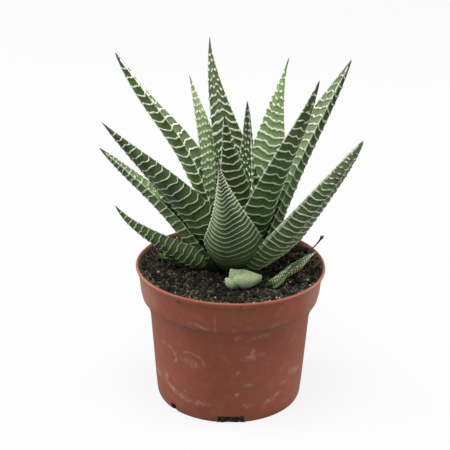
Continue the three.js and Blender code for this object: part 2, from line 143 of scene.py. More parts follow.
class Graph:
    """A node tree with short words for adding and joining nodes"""

    def __init__(self, tree):
        self.tree = tree

    def add(self, kind, feeds=None, **settings):
        node = self.tree.nodes.new(kind)
        for key, value in settings.items():
            setattr(node, key, value)
        for key, value in (feeds or {}).items():
            self.feed(node.inputs[key], value)
        return node

    def feed(self, socket, value):
        if isinstance(value, bpy.types.NodeSocket):
            self.tree.links.new(value, socket)
        else:
            socket.default_value = value

    def maths(self, what, a, b=0.0, c=0.0):
        return self.add("ShaderNodeMath", {0: a, 1: b, 2: c}, operation=what).outputs[0]

    def times(self, a, b):
        return self.maths("MULTIPLY", a, b)

    def vector(self, what, a, b=(0, 0, 0), out=0):
        return self.add("ShaderNodeVectorMath", {0: a, 1: b}, operation=what).outputs[out]

    def spread(self, value, low, high, to_low=0.0, to_high=1.0):
        """A smooth step of value from low to high"""
        node = self.add("ShaderNodeMapRange", {"Value": value, "From Min": low, "From Max": high,
                                               "To Min": to_low, "To Max": to_high},
                        interpolation_type="SMOOTHSTEP")
        return node.outputs["Result"]

    def blend(self, mask, first, second, how="MIX"):
        node = self.add("ShaderNodeMix", data_type="RGBA", blend_type=how)
        self.feed(node.inputs["Factor"], mask)
        self.feed(node.inputs[6], first)
        self.feed(node.inputs[7], second)
        return node.outputs[2]

    def tint(self, colour, mask, share, code):
        """The colour with a share of the coded one laid over it, where the mask is"""
        return self.blend(self.times(mask, share), colour, linear(code))

    def dim(self, colour, share):
        """The colour times a share that changes over the surface: darker under 1, lighter over 1"""
        grey = self.add("ShaderNodeCombineColor", {0: share, 1: share, 2: share}).outputs[0]
        return self.blend(1.0, colour, grey, "MULTIPLY")

    def own(self, name):
        """A value that the piece's mesh carries"""
        return self.add("ShaderNodeAttribute", attribute_name=name).outputs["Fac"]

    def place(self):
        return self.add("ShaderNodeTexCoord").outputs["Object"]

    def coordinate(self, axis):
        return self.add("ShaderNodeSeparateXYZ", {0: self.place()}).outputs[axis]

    def cloud(self, place, scale, detail, rough=0.5):
        node = self.add("ShaderNodeTexNoise", {"Vector": place, "Scale": scale, "Detail": detail,
                                               "Roughness": rough})
        return node.outputs["Fac"]

    def grain(self, scale, detail=3.0, rough=0.5):
        return self.cloud(self.place(), scale, detail, rough)

    def group(self, tree, **feeds):
        node = self.add("ShaderNodeGroup", node_tree=tree)
        for key, value in feeds.items():
            self.feed(node.inputs[key.replace("_", " ")], value)
        return node.outputs

    def shader(self):
        return self.tree.nodes["Principled BSDF"]

    def dress(self, colour, rough, gloss, normal=None):
        """Gives the material's shader its looks"""
        looks = {"Base Color": colour, "Roughness": rough, "Specular IOR Level": gloss}
        if normal is not None:
            looks["Normal"] = normal
        for name, value in looks.items():
            self.feed(self.shader().inputs[name], value)


def new_group(name, takes, gives):
    tree = bpy.data.node_groups.new(name, "ShaderNodeTree")
    for label, kind in takes:
        tree.interface.new_socket(label, in_out="INPUT", socket_type="NodeSocket" + kind)
    for label, kind in gives:
        tree.interface.new_socket(label, in_out="OUTPUT", socket_type="NodeSocket" + kind)
    g = Graph(tree)
    start = g.add("NodeGroupInput").outputs
    end = g.add("NodeGroupOutput").inputs
    return g, start, end


def mottle_group():
    """Uneven tone at two sizes, and a fine bump to go with it"""
    g, start, end = new_group("mottle", [("Scale", "Float"), ("Depth", "Float")],
                              [("Tone", "Float"), ("Normal", "Vector")])
    place = g.place()
    broad = g.cloud(place, start["Scale"], 4.0)
    fine = g.cloud(place, g.times(start["Scale"], FINER), 3.0)
    both = g.maths("MULTIPLY_ADD", fine, 0.35, g.times(broad, 0.65))
    bump = g.add("ShaderNodeBump", {"Height": fine, "Strength": start["Depth"], "Distance": BUMP_HEIGHT})
    g.feed(end["Tone"], g.spread(both, 0.3, 0.7))
    g.feed(end["Normal"], bump.outputs["Normal"])
    return g.tree


def stain_group():
    """A cloudy patch round a place on an upright wall: Across runs along the wall, level"""
    floats = [(label, "Float") for label in ("Width", "Height", "Tilt", "Ring", "Strength")]
    g, start, end = new_group("stain", [("Centre", "Vector"), ("Across", "Vector"), *floats],
                              [("Mask", "Float")])
    place = g.place()
    away = g.vector("SUBTRACT", place, start["Centre"])
    along = g.vector("DOT_PRODUCT", away, start["Across"], out=1)
    rise = g.add("ShaderNodeSeparateXYZ", {0: away}).outputs["Z"]
    rise = g.maths("SUBTRACT", rise, g.times(along, start["Tilt"]))
    x = g.maths("DIVIDE", along, start["Width"])
    y = g.maths("DIVIDE", rise, start["Height"])
    reach = g.maths("SQRT", g.maths("ADD", g.times(x, x), g.times(y, y)))
    patch = g.spread(reach, 1.0, 0.1)
    line = g.spread(g.maths("ABSOLUTE", g.maths("SUBTRACT", reach, 0.8)), 0.16, 0.03)
    line = g.times(line, g.spread(g.maths("ADD", x, y), -0.1, 0.5))
    shape = g.maths("ADD", g.times(patch, g.maths("SUBTRACT", 1.0, start["Ring"])),
                    g.times(line, start["Ring"]))
    worn = g.spread(g.cloud(place, 620.0, 5.0, 0.7), 0.36, 0.68)
    g.feed(end["Mask"], g.times(g.times(shape, worn), start["Strength"]))
    return g.tree


def new_material(name):
    """A material with only its shader and output, and a Graph to add to"""
    paint = bpy.data.materials.new(name)
    paint.use_nodes = True
    return paint, Graph(paint.node_tree)


# Materials

PALE_PATCH = 0x93A679
BROWN_PATCH = 0x5C5946
DRY_TIP = 0x4E483C


def leaf_paint(name, deep, fresh, inner, band=(0x9CAA88, 0xCBD3BA), bright=(0xC6D2AE, 0xE6ECD4)):
    """Leaf skin: a mottled green, raised pale bands, pale beaded margins and a dry tip, with painted light
    and shade along it

    band and bright are the colours of the bands on the back and on the inner face, low down and high up.
    """
    paint, g = new_material(name)
    spots = g.group(MOTTLE, Scale=110.0, Depth=0.35)
    green = g.blend(spots["Tone"], linear(deep), linear(fresh))
    for mark, code in (("inner", inner), ("pale", PALE_PATCH), ("brown", BROWN_PATCH)):
        green = g.blend(g.own(mark), green, linear(code))
    along = g.own("along")
    # a little darker beside the bands: partly the skin's own tone, partly painted shade beside the raised
    # bands
    band_edge_tone_and_shade = g.spread(g.own("gap"), 0.1, 0.8, 0.9, 1.04)
    # painted shade low down by the seat, and painted light towards the tip
    painted_shade_at_root = g.spread(along, 0.02, 0.4, 0.72, 1.0)
    painted_light_at_tip = g.spread(along, 0.45, 0.95, 1.0, 1.4)
    light = g.times(g.times(band_edge_tone_and_shade, painted_shade_at_root), painted_light_at_tip)
    # times each leaf's painted light and shade, from its shade values
    green = g.dim(green, g.times(light, g.own("shade")))
    green = g.blend(g.own("dry"), green, linear(DRY_TIP))
    wear = g.spread(g.grain(1300.0, 2.0), 0.28, 0.6, 0.62, 1.0)
    line = g.times(g.spread(g.own("band"), 0.26, 0.6), wear)
    rim = g.times(g.spread(g.own("rim"), 0.2, 0.65), 0.85)
    mask = g.maths("MAXIMUM", line, rim)
    upwards = g.spread(along, 0.1, 0.9)
    back, front = (g.blend(upwards, linear(low), linear(high)) for low, high in (band, bright))
    # the bands' paleness, with painted light and shade along the leaf from its white values
    chalk = g.dim(g.blend(g.own("inner"), back, front), g.own("white"))
    g.dress(g.blend(mask, green, chalk), g.spread(mask, 0.0, 1.0, 0.46, 0.6), 0.22, spots["Normal"])
    return paint


# Marks on the pot: heading, height, half width, half height, tilt, how much of a ring it is, strength
SCUFFS = [
    (-111, 52.2, 7, 1.3, -0.25, 0, 0.5), (-106.5, 51, 3, 1.2, -0.2, 0, 0.6),
    (-58, 50.6, 5.5, 1.8, 0.25, 1, 0.45), (-60, 51.6, 5, 2.4, 0.2, 0, 0.3),
    (-83.7, 46.4, 2.6, 2.4, 0.5, 0, 0.6), (-99.3, 54.6, 0.3, 5.6, 0, 0, 0.7),
    (-99, 50.6, 1, 1.8, 0.2, 0, 0.6), (-79.2, 51.9, 4, 1.6, 0.3, 0, 0.3), (-143, 29.8, 8, 6, 0, 1, 0.4),
    (-119, 30.2, 8, 6, 0, 1, 0.42), (-74, 35, 6.5, 2.6, 0.1, 0, 0.6), (-73, 37.4, 1.8, 2.8, 0.4, 0, 0.55),
    (-66, 35.6, 3.4, 1.8, -0.3, 0, 0.4), (-83.5, 26.9, 1.4, 2.2, 0.2, 0, 0.5),
    (-76.3, 20.2, 3.2, 1.3, 0, 0, 0.65), (-83.8, 15.6, 1.6, 1.5, 0, 0, 0.9),
    (-139, 12.4, 8, 2.4, -0.35, 0, 0.6), (-128, 10.2, 7, 2.4, -0.2, 0, 0.6),
    (-113, 9.6, 8, 2.2, 0, 0, 0.45), (-146, 17.5, 3.5, 3.5, 0, 0, 0.5), (-135, 16.5, 7, 1, -0.5, 1, 0.3),
    (-75.6, 9.2, 4, 1.8, 0, 0, 0.6), (-58, 9.9, 5, 2.2, 0.2, 0, 0.5), (-43.7, 16.8, 3.4, 1.6, 0, 0, 0.55),
    (-50, 12, 4, 1.2, 0.3, 0, 0.4), (60, 30, 9, 3, 0.2, 0, 0.4), (110, 45, 8, 2, -0.2, 0, 0.4),
    (150, 20, 9, 3, 0.1, 0, 0.45), (20, 15, 9, 3, 0, 0, 0.4), (178, 38, 7, 5, 0, 1, 0.4),
]
ALGAE = (-145.5, 56, 3.4, 5.5, 0, 0, 0.8)
DIRT = [(-122.4, 62.3, 0.9, 1.7, 0, 0, 2), (-84, 63.9, 0.9, 0.7, 0, 0, 2), (-138, 1.6, 1.6, 1.6, 0, 0, 2)]

# Heights in metres between which the pot's colour changes, with a painted highlight on the lip and a painted
# shadow under the collar's step, and how far to its sides the collar takes a painted sheen
COLLAR_STARTS = (0.046, 0.052)
LIP_HIGHLIGHT_STARTS = (0.0626, 0.0638)
COLLAR_SHADOW_STARTS = (0.0462, 0.0486)
COLLAR_SHADOW_ENDS = (0.051, 0.0494)
FOOT_STARTS = (0.007, 0.0)
FOOT_LINE = (0.0016, 0.0002)
SIDES_START = (0.029, 0.041)


def stain(g, heading, z, width, tall, tilt, ring, strength):
    """The mask of one mark on the pot's outside"""
    a = math.radians(heading)
    r = pot_radius(z)
    centre = (r * math.cos(a) * MM, r * math.sin(a) * MM, z * MM)
    return g.group(STAIN, Centre=centre, Across=(-math.sin(a), math.cos(a), 0), Width=width * MM,
                   Height=tall * MM, Tilt=tilt, Ring=ring, Strength=strength)["Mask"]


def pot_paint():
    """Brown moulded plastic with hazy patches, a painted sheen at its sides, a painted highlight on the lip,
    a painted shadow under the collar's step, lime, scuffs, a little green growth and specks of dirt
    """
    paint, g = new_material("pot_plastic")
    tone = g.group(MOTTLE, Scale=38.0, Depth=0.12)
    base = g.blend(tone["Tone"], linear(0x8E4D3A), linear(0x9A5642))
    height = g.coordinate("Z")
    # painted sheen: the collar is drawn paler towards its left and right sides
    sides = g.spread(g.maths("ABSOLUTE", g.coordinate("X")), *SIDES_START, 0.0, 0.3)
    base = g.tint(base, sides, g.spread(height, *COLLAR_STARTS), 0xC4A892)
    # painted highlight: the lip is drawn lighter
    base = g.tint(base, g.spread(height, *LIP_HIGHLIGHT_STARTS), 0.4, 0xA8644C)
    # painted shadow: a darker band on the step under the collar
    step = g.times(g.spread(height, *COLLAR_SHADOW_STARTS), g.spread(height, *COLLAR_SHADOW_ENDS))
    base = g.tint(base, step, 0.2, 0x6E3B2C)
    haze = g.times(g.spread(g.grain(260.0, 5.0, 0.62), 0.5, 0.8), 0.16)
    base = g.blend(haze, base, linear(0xB9A08E))
    marks = 0.0
    for scuff in SCUFFS:
        marks = g.maths("MAXIMUM", marks, stain(g, *scuff))
    base = g.blend(marks, base, linear(0xC0AE98))
    base = g.blend(stain(g, *ALGAE), base, linear(0x8E8344))
    for spot in DIRT:
        base = g.blend(g.maths("MINIMUM", stain(g, *spot), 0.85), base, linear(0x2E211A))
    foot = g.times(g.spread(height, *FOOT_STARTS), g.spread(g.grain(120.0, 4.0), 0.35, 0.6))
    base = g.tint(base, foot, 0.35, 0x5A3529)
    base = g.tint(base, g.spread(height, *FOOT_LINE), 0.5, 0x4A2A20)
    rough = g.maths("MULTIPLY_ADD", g.maths("MAXIMUM", marks, haze), 0.3, 0.48)
    g.dress(base, rough, 0.25, tone["Normal"])
    return paint


def earth_paint(name, low, high, scale=420.0, depth=0.9, rough=0.95):
    """Matt crumbly matter, two tones broken up finely"""
    paint, g = new_material(name)
    tone = g.group(MOTTLE, Scale=scale, Depth=depth)
    g.dress(g.blend(tone["Tone"], linear(low), linear(high)), rough, 0.15, tone["Normal"])
    return paint


# Clods, rust, moss and specks in the soil: size, detail and roughness of the noise, from, to, share, colour
FLECKS = [(520.0, 2.0, 0.6, 0.54, 0.64, 0.75, 0x5A5346), (620.0, 2.0, 0.5, 0.64, 0.7, 0.6, 0x5E3E30),
          (110.0, 3.0, 0.5, 0.56, 0.7, 0.45, 0x2E3A26), (1300.0, 1.0, 0.5, 0.66, 0.72, 0.7, 0xA8A08E)]
# how far to the sides the soil is drawn lighter, in metres, and how much: painted light
SOIL_SIDES_START = (0.022, 0.034)
SOIL_SIDES_PAINTED_LIGHT = 2.1


def soil_paint():
    """Near-black soil with brown clods, rust, a breath of moss and a few pale specks, drawn lighter towards
    its sides as painted light
    """
    paint, g = new_material("potting_soil")
    tone = g.group(MOTTLE, Scale=300.0, Depth=1.0)
    base = g.blend(tone["Tone"], linear(0x151511), linear(0x2E2B25))
    for scale, detail, rough, low, high, share, code in FLECKS:
        base = g.tint(base, g.spread(g.grain(scale, detail, rough), low, high), share, code)
    off_middle = g.maths("ABSOLUTE", g.coordinate("X"))
    # painted light: the soil is drawn lighter towards its left and right sides
    base = g.dim(base, g.spread(off_middle, *SOIL_SIDES_START, 1.0, SOIL_SIDES_PAINTED_LIGHT))
    g.dress(base, 0.9, 0.2, tone["Normal"])
    return paint


# Steps that the pieces share

SEAM = 0.000002


def settle(piece, name, node, paint):
    """Names a finished piece, gives it its material, hangs it on the root body and hides the drawn part it
    stands for
    """
    piece.name = name
    piece.data.name = name
    piece.data.materials.clear()
    piece.data.materials.append(paint)
    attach(piece, "root")
    if node:
        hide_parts(node)
    return piece


def pick(piece):
    """Makes the piece the active one, and the only one selected"""
    bpy.ops.object.select_all(action="DESELECT")
    bpy.context.view_layer.objects.active = piece
    piece.select_set(True)


def edit(piece):
    pick(piece)
    bpy.ops.object.mode_set(mode="EDIT")
    bpy.ops.mesh.select_all(action="SELECT")


def leave_edit():
    bpy.ops.object.mode_set(mode="OBJECT")


def close_skin(piece):
    """Merges the seam and the poles and turns every face outwards"""
    edit(piece)
    bpy.ops.mesh.remove_doubles(threshold=SEAM)
    bpy.ops.mesh.normals_make_consistent(inside=False)
    leave_edit()
    bpy.ops.object.shade_smooth()


def bake_place(piece):
    pick(piece)
    bpy.ops.object.transform_apply(location=True, rotation=True, scale=True)


def join(pieces):
    """Makes one object of several"""
    bpy.ops.object.select_all(action="DESELECT")
    for piece in pieces:
        piece.select_set(True)
    bpy.context.view_layer.objects.active = pieces[0]
    bpy.ops.object.join()
    return bpy.context.object


def points_of(piece):
    flat = np.empty(len(piece.data.vertices) * 3)
    piece.data.vertices.foreach_get("co", flat)
    return flat.reshape(-1, 3)


def put_points(piece, points):
    piece.data.vertices.foreach_set("co", (points * MM).astype(np.float32).ravel())
    piece.data.update()


def carry(piece, name, values):
    piece.data.attributes.new(name, "FLOAT", "POINT").data.foreach_set("value", values.astype(np.float32))


def rolled_sheet(rounds, steps):
    """A flat sheet of faces, with the row and column of each of its points"""
    bpy.ops.mesh.primitive_grid_add(x_subdivisions=rounds, y_subdivisions=steps, size=1)
    sheet = bpy.context.object
    flat = points_of(sheet)
    column = np.rint((flat[:, 0] - flat[:, 0].min()) / np.ptp(flat[:, 0]) * rounds).astype(int)
    row = np.rint((flat[:, 1] - flat[:, 1].min()) / np.ptp(flat[:, 1]) * steps).astype(int)
    return sheet, row, column


def ramp(x):
    """x, kept between 0 and 1"""
    return np.clip(x, 0, 1)


def follow(table, x):
    """The value at x in a table of places and values"""
    return np.interp(x, *zip(*table))


# Leaves

# middle of the rosette, and the height and radius of the stock there, in which the leaves are sunk
CROWN = (1.0, 9.0)
STOCK = [(38, 5), (50, 9.5), (57, 9), (74, 3)]
SUNK_SEAT = 2
# points along the middle line, and faces round the leaf above and below
SPINE_POINTS = 401
UPPER_FACES = 36
UNDER_FACES = 56
# least half width near the tip, and depth of the shoulders beside the keel as a share of the keel's
TIP_ROOM = 0.4
SHOULDER = 0.62
# heights that bands, ridges and rims stand out, the share more at a margin, and how far in a margin reaches
BAND_RISE = 0.4
RIDGE_RISE = 0.25
RIM_RISE = 0.18
MARGIN_RISE = 0.35
MARGIN_WIDTH = 0.9
# how much the skin is drawn in at the margins to make room for them, half a ridge, spacing of rim beads
SKIN_ALLOWANCE = 0.22
RIDGE_HALF = 0.7
BEAD_PITCH = 1.3
# spacing of rows on a studded leaf, band spacing that gets a row between, and rows at the tip
STUD_ROW = 0.28
WIDE_PITCH = 2.3
TIP_ROWS = 6
# rows of points over a band: place across it and height
BAND_ROWS = ((-1.0, 0.0), (-0.5, 0.58), (0.0, 1.0), (0.5, 0.58), (1.0, 0.0))
# thickness of a leaf along its length, in half widths
THICKNESS = ((0, 0.5), (0.25, 0.68), (0.6, 0.78), (1, 0.95))

# What a leaf has, unless its row in the tables says otherwise. Angles are in degrees.
# at: heading of its seat; seat: height of the seat; rise: its slope there; tip: place of the tip;
# pull: how far its middle line runs on at both ends before it bends, as a share of the span;
# flick: how much the tip turns up; aside: a small shift of the whole leaf to the right.
# width: at the widest; swell: share of the length where that is; waist: share of the width at the seat;
# taper: how the rest narrows; turn, roll and twist: how the leaf is turned about its middle line.
# keel: place of the keel across the back; blunt: half its width; depth: how much thicker than most;
# cup: how far the inner face bulges out (or, below 0, is hollow), low down and high up.
# pitch: band spacing at the seat, middle and tip; anchor: distance of one band from the seat; line: half a
# band's width; under and upper: how far the bands shift along the leaf, from one margin (-1) to the other
# (1); wavy: how unsteady the bands are; faint: bands nearer the seat than this are dim.
# dots: share of the length where the bands break into beads, and how fully; upper_dots: the same share
# on the inner face; step: width of a bead.
# studs: spacing across, spacing along and size of the studs that a young leaf has in place of bands;
# fade_studs: shares of the length between which they appear.
# rims: strength of the two pale margins; ridges: face (1 is upper), place across low and high, strength,
# from, to; dry: brown tip; pale and brown: face, place across, place along, width, length, amount.
# shade and white: how much lighter or darker the skin and the bands are drawn at the seat, middle and tip,
# partly each leaf's own tone and partly painted light and shade; inner_shade: how much of that the inner face
# takes.
USUAL = dict(pull=0.36, flick=0, aside=0, swell=0.22, waist=0.72, taper=1, turn=0, roll=0, twist=0, keel=0,
             blunt=0.2, depth=1, cup=(-0.06, 0.05), line=0.5, under=((-1, -0.3), (0, 0.3), (1, -0.3)),
             upper=((-1, -0.3), (0, 0.3), (1, -0.3)), wavy=1, dots=(0.82, 0.7), step=2.1,
             fade_studs=(0.02, 0.3), rims=(0.4, 0.4), ridges=(), dry=0.5, pale=(), brown=(),
             shade=(1, 1, 1), inner_shade=1, white=(1, 1, 1))

# One row for each leaf
LEAVES = [
    dict(node="leaf_front_broad", paint="broad", at=-88, seat=61, rise=59, tip=(-6, -43, 132), width=26,
         swell=0.3, waist=0.62, taper=1.25, pull=0.4, flick=13, keel=0.05, blunt=0.3,
         pitch=(4.4, 3.25, 1.3), anchor=43.1, line=0.33, wavy=0.35, faint=34, dots=(0.99, 0),
         under=((-1, -1.6), (-0.8, -2.2), (-0.5, -1.6), (-0.2, -0.9), (0, 0.8), (0.2, 2.3), (0.4, 2.6),
             (0.6, 1.8), (1, 0.8)), rims=(0.9, 0.8), dry=0.6, shade=(1.75, 1.5, 1), white=(0.94, 1.1, 1.1),
         pale=((0, -0.85, 58, 0.5, 18, 0.4),)),
    dict(node="leaf_front_upright", paint="deep", at=-77, seat=66, rise=90, tip=(-4, -12, 142), width=20,
         pull=0.48, flick=8, roll=8, keel=0.35,
         pitch=(4, 4.1, 3.9), anchor=51.7, line=0.42, dots=(0.86, 0.8), under=((-1, 0), (-0.4, -0.2),
             (0, 0.2), (0.2, 0.6), (0.6, 0.5), (0.8, -0.4), (1, -1.7)),
         rims=(0.9, 0.7), shade=(1.4, 1.12, 1), white=(1.15, 1.14, 1.2)),
    dict(node="leaf_tall_middle", paint="deep", at=47.6, seat=67, rise=76.6, tip=(-10.8, 23, 164.3),
         aside=0.12, width=22.8, swell=0.23, taper=1.05, pull=0.34, flick=24.8, turn=35, roll=2,
         cup=(-0.22, -0.22), pitch=(4.6, 4.4, 3.6), anchor=59.5, line=0.6, step=1.5, dots=(0.7, 0.85),
         under=((-1, -0.8), (0, 0.6), (1, -0.8)), upper=((-1, -1.7), (-0.6, -0.9), (-0.2, 1.2), (0, 1.6),
             (0.2, 0.9), (0.6, 0), (1, -0.9)),
         rims=(0.5, 0.5), dry=0.7, shade=(1.2, 0.78, 0.85), white=(1.25, 1.25, 1.45),
         pale=((1, 0.1, 80, 0.8, 26, 0.4),)),
    dict(node="leaf_narrow_middle", paint="deep", at=35.8, seat=71, rise=81.4, tip=(6, 4.9, 141),
         aside=0.25, width=14.6, taper=0.75, pull=0.35, flick=-0.7, roll=2.2, keel=0.2, blunt=0.15,
         pitch=(3.8, 3.6, 3.2), anchor=42, line=0.6, dots=(0.3, 0.8),
         rims=(0.9, 0.9), shade=(1.2, 1.15, 0.38), white=(2.6, 1.9, 0.75)),
    dict(node="leaf_back_right", paint="light", at=44, seat=64, rise=58.5, tip=(24.5, 28.1, 153.4),
         aside=0.4, width=27.8, swell=0.27, taper=1.35, pull=0.4, flick=-14.6, turn=25, roll=7.9,
         twist=2.5, blunt=0.25, cup=(0.12, 0.12),
         pitch=(4.2, 4, 2.9), anchor=55.9, line=0.52, dots=(0.68, 0.85), upper=((-1, -1), (-0.6, -0.1),
             (-0.4, -0.6), (0, -0.7), (0.2, 0.2), (0.6, 1), (1, 0.9)),
         rims=(0.5, 0.5), dry=0.6, shade=(0.42, 0.82, 1.4), white=(0.8, 0.9, 1.6)),
    dict(node="leaf_back_left", paint="light", at=142.6, seat=65, rise=85, tip=(-20, 31.9, 143),
         aside=0.22, width=17.5, taper=0.94, pull=0.37, flick=6.7, turn=-25,
         pitch=(3.4, 3.3, 3), anchor=50, line=0.62, step=1.6, dots=(0.25, 0.6),
         shade=(0.42, 0.85, 1), white=(0.78, 0.98, 0.9)),
    dict(node="leaf_upper_left", paint="deep", at=140.5, seat=68, rise=76.9, tip=(-51.6, 5.8, 162.4),
         width=24.9, swell=0.34, taper=0.83, pull=0.46, flick=14.2, turn=17, roll=4.5, twist=32,
         keel=-0.15, blunt=0.15, cup=(-0.25, -0.25),
         pitch=(4.9, 5, 4.8), anchor=61.7, line=0.46, dots=(0.92, 0.5), upper_dots=0.55,
         under=((-1, -0.2), (0.2, 0.4), (0.4, 0.3), (0.6, -0.1), (0.8, -0.7), (1, 0.2)),
         upper=((-1, -1.5), (-0.4, 1.2), (0.3, 2.6), (0.7, 1.6), (1, 0.2)),
         rims=(0.6, 1), dry=1, shade=(2, 2.4, 1.9), inner_shade=0.6, white=(1.8, 1.9, 1.8),
         brown=((1, 0.2, 62, 0.9, 30, 0.55),), ridges=((1, 0.82, 0.78, 0.6, 40, 92),)),
    dict(node="leaf_mid_left", paint="deep", at=199.5, seat=63, rise=68.9, tip=(-55.9, -24.8, 142),
         width=25.2, waist=1, taper=0.97, pull=0.34, flick=14.5, roll=40, twist=10.4, keel=0.5, blunt=0.12,
         pitch=(4.5, 4.5, 4), anchor=53.4, line=0.36, dots=(0.95, 0.5), under=((-1, -3.2), (-0.6, -1.8),
             (-0.4, -0.7), (-0.2, 1), (0.2, 1.5), (0.4, 2.1), (0.6, 1.2), (0.8, 0.2), (1, 1.1)),
         upper=((-1, -3.2), (1, 1.1)), rims=(0.3, 0.5), dry=1, shade=(1.45, 1.2, 0.85),
         white=(1.04, 1.07, 1.12), ridges=((0, -0.23, -0.3, 0.85, 10, 62), (0, -0.36, -0.4, 0.45, 10, 46))),
    dict(node="leaf_lower_left", paint="mid", at=184.6, seat=60, rise=59.2, tip=(-58.9, 2.7, 118.9),
         width=20.6, swell=0.25, waist=1.06, taper=0.8, pull=0.42, flick=5.5, turn=1.5, roll=-2.7, twist=3,
         keel=0.13, blunt=0.15, pitch=(4.3, 4.3, 1.9), anchor=43.2, line=0.38, dots=(0.8, 0.6),
         upper_dots=0.4, under=((-1, -0.4), (-0.4, -1.1), (0, -1), (0.2, -0.4), (0.4, 0.9), (0.6, 1.6),
             (1, 1.6)), upper=((-1, -0.4), (0, 1), (1, 1.6)),
         rims=(0.4, 0.8), dry=0.7, shade=(1.1, 2.1, 1.05), inner_shade=0.75, white=(1.1, 1.6, 0.85),
         brown=((0, -0.1, 40, 0.5, 30, 0.35),)),
    dict(node="leaf_soil_left", paint="deep", at=198.9, seat=58.5, rise=41, tip=(-51.7, -3.3, 93.9),
         width=14.1, swell=0.23, taper=0.83, pull=0.28, flick=26.6, roll=43.7, twist=-1.3, keel=-0.11,
         blunt=0.35, pitch=(3, 3.1, 3.1), anchor=30.9, line=0.28, wavy=0.5, faint=9, dots=(0.95, 0.5),
         under=((-1, 0), (-0.4, -0.2), (0, -0.3), (0.2, 0.3), (0.4, -0.1), (0.6, 0.5), (1, 0.1)),
         upper=((-1, 0), (0, 0.2), (1, 0.1)),
         rims=(0.7, 0.7), dry=0.7, shade=(2.8, 1.9, 1.6), white=(1.4, 1.1, 1.2)),
    dict(node="leaf_right_front", paint="deep", at=-38, seat=65, rise=75.5, tip=(36.2, -19, 160),
         aside=0.35, width=20.4, waist=0.84, taper=0.8, pull=0.43, flick=9.3, roll=-2.7, twist=-5.9,
         keel=0.25, blunt=0.15, pitch=(4.7, 4.6, 3.9), anchor=57.3, line=0.42, dots=(0.72, 0.85),
         under=((-1, -1.2), (-0.8, -1.3), (-0.4, -0.5), (-0.2, -1.7), (0, -1.7), (0.2, 0.1), (0.4, 1.1),
             (1, 2.1)), upper=((-1, -1.2), (1, 2.1)),
         rims=(0.95, 0.8), dry=0.9, shade=(2, 1.6, 1.45), white=(1.35, 1.28, 1.3),
         brown=((0, 0.05, 64, 0.2, 18, 0.45),), ridges=((0, -0.25, -0.1, 0.5, 78, 97),)),
    dict(node="leaf_right_tall", paint="mid", at=16.5, seat=63, rise=71.2, tip=(51, 4.5, 161.2), aside=0.3,
         width=24.3, swell=0.3, waist=0.95, taper=0.83, pull=0.39, flick=5.5, turn=3.4, roll=7.6,
         twist=-13.7, keel=-0.26, blunt=0.15, cup=(0, 0),
         pitch=(4.3, 4.4, 4.6), anchor=63.2, line=0.46, dots=(0.8, 0.8), under=((-1, 3.8), (-0.8, 1.6),
             (-0.6, 0.8), (-0.4, 0.2), (1, -1)), upper=((-1, 4.2), (-0.6, 2.6), (-0.2, 0.5), (0.2, -1.2),
             (0.6, -2.5), (1, -3.7)), rims=(1, 0.7), dry=0.9, shade=(0.95, 1.05, 0.55),
         white=(1, 1.03, 0.95), pale=((1, -0.5, 62, 0.75, 40, 0.4),), brown=((1, 0.8, 83, 0.45, 12, 0.8),
             (1, 0, 28, 2, 14, 0.3)), ridges=((1, 0.55, 0.38, 0.8, 72, 84), (1, 0.36, 0, 0.8, 82, 94))),
    dict(node="leaf_right_low", paint="mid", at=-38.9, seat=59.5, rise=47.8, tip=(56.5, -13.4, 130.3),
         width=21.75, swell=0.37, waist=0.77, taper=0.67, pull=0.34, flick=-3.5, turn=26.5, roll=-19.9,
         twist=-1.9, keel=-0.02, blunt=0.58, cup=(-0.18, -0.18),
         pitch=(3.15, 3.1, 2.6), anchor=45.8, line=0.34, step=1.4, dots=(0.6, 0.85), under=((-1, 0.1),
             (-0.8, 0.1), (-0.6, 0.8), (-0.4, 1.8), (-0.2, 0.9), (0, -0.2), (0.2, -0.6), (1, -0.7)),
         upper=((-1, 0.1), (0, -1), (1, -2)),
         rims=(1, 0.5), shade=(1.5, 1, 1.05), brown=((0, -0.8, 76, 0.3, 11, 0.55),),
         ridges=((0, -0.93, -0.95, 0.9, 10, 74), (0, -0.33, -0.33, 0.8, 8, 86))),
    dict(node="leaf_young_left", paint="mid", at=195, seat=72, rise=80, tip=(-7, 4, 122), width=11,
         pitch=(3.6, 3.6, 3.2), anchor=30, dots=(0.4, 0.6)),
    dict(node="leaf_right_behind", paint="deep", at=28, seat=61, rise=60, tip=(45, 45, 132), width=18,
         pitch=(4.3, 4.4, 4), anchor=45, dry=0.6),
    dict(node="leaf_right_shaded", paint="deep", at=8, seat=59, rise=42, tip=(41, 25, 94), width=17,
         pitch=(3.6, 3.8, 3.4), anchor=30,
         dry=0.6, shade=(1.6, 1.9, 1.7), white=(1.4, 1.5, 1.25)),
    dict(node="leaf_rear_middle", paint="mid", at=98, seat=62, rise=55, tip=(-3, 70, 115), width=19,
         pitch=(3.9, 4.2, 3.6), anchor=40,
         dry=0.6),
    dict(node="leaf_rear_right", paint="mid", at=70, seat=61, rise=57, tip=(20, 66, 119), width=19,
         pitch=(4, 4.3, 3.7), anchor=42, dry=0.6),
    dict(node="leaf_rear_left", paint="mid", at=124, seat=62, rise=62, tip=(-26, 56, 107), width=16,
         pitch=(3.8, 4.1, 3.5), anchor=38,
         dry=0.6),
    dict(node="leaf_rear_low_left", paint="mid", at=122, seat=59, rise=34, tip=(-14, 68, 83), width=18,
         flick=6, blunt=0.25, pitch=(3.2, 3.4, 3), anchor=34,
         dry=0.6),
    dict(node="leaf_rear_low_right", paint="deep", at=76, seat=59, rise=30, tip=(16, 70, 82), width=18,
         flick=6, blunt=0.25, pitch=(3.3, 3.5, 3.1), anchor=35,
         dry=0.6),
]

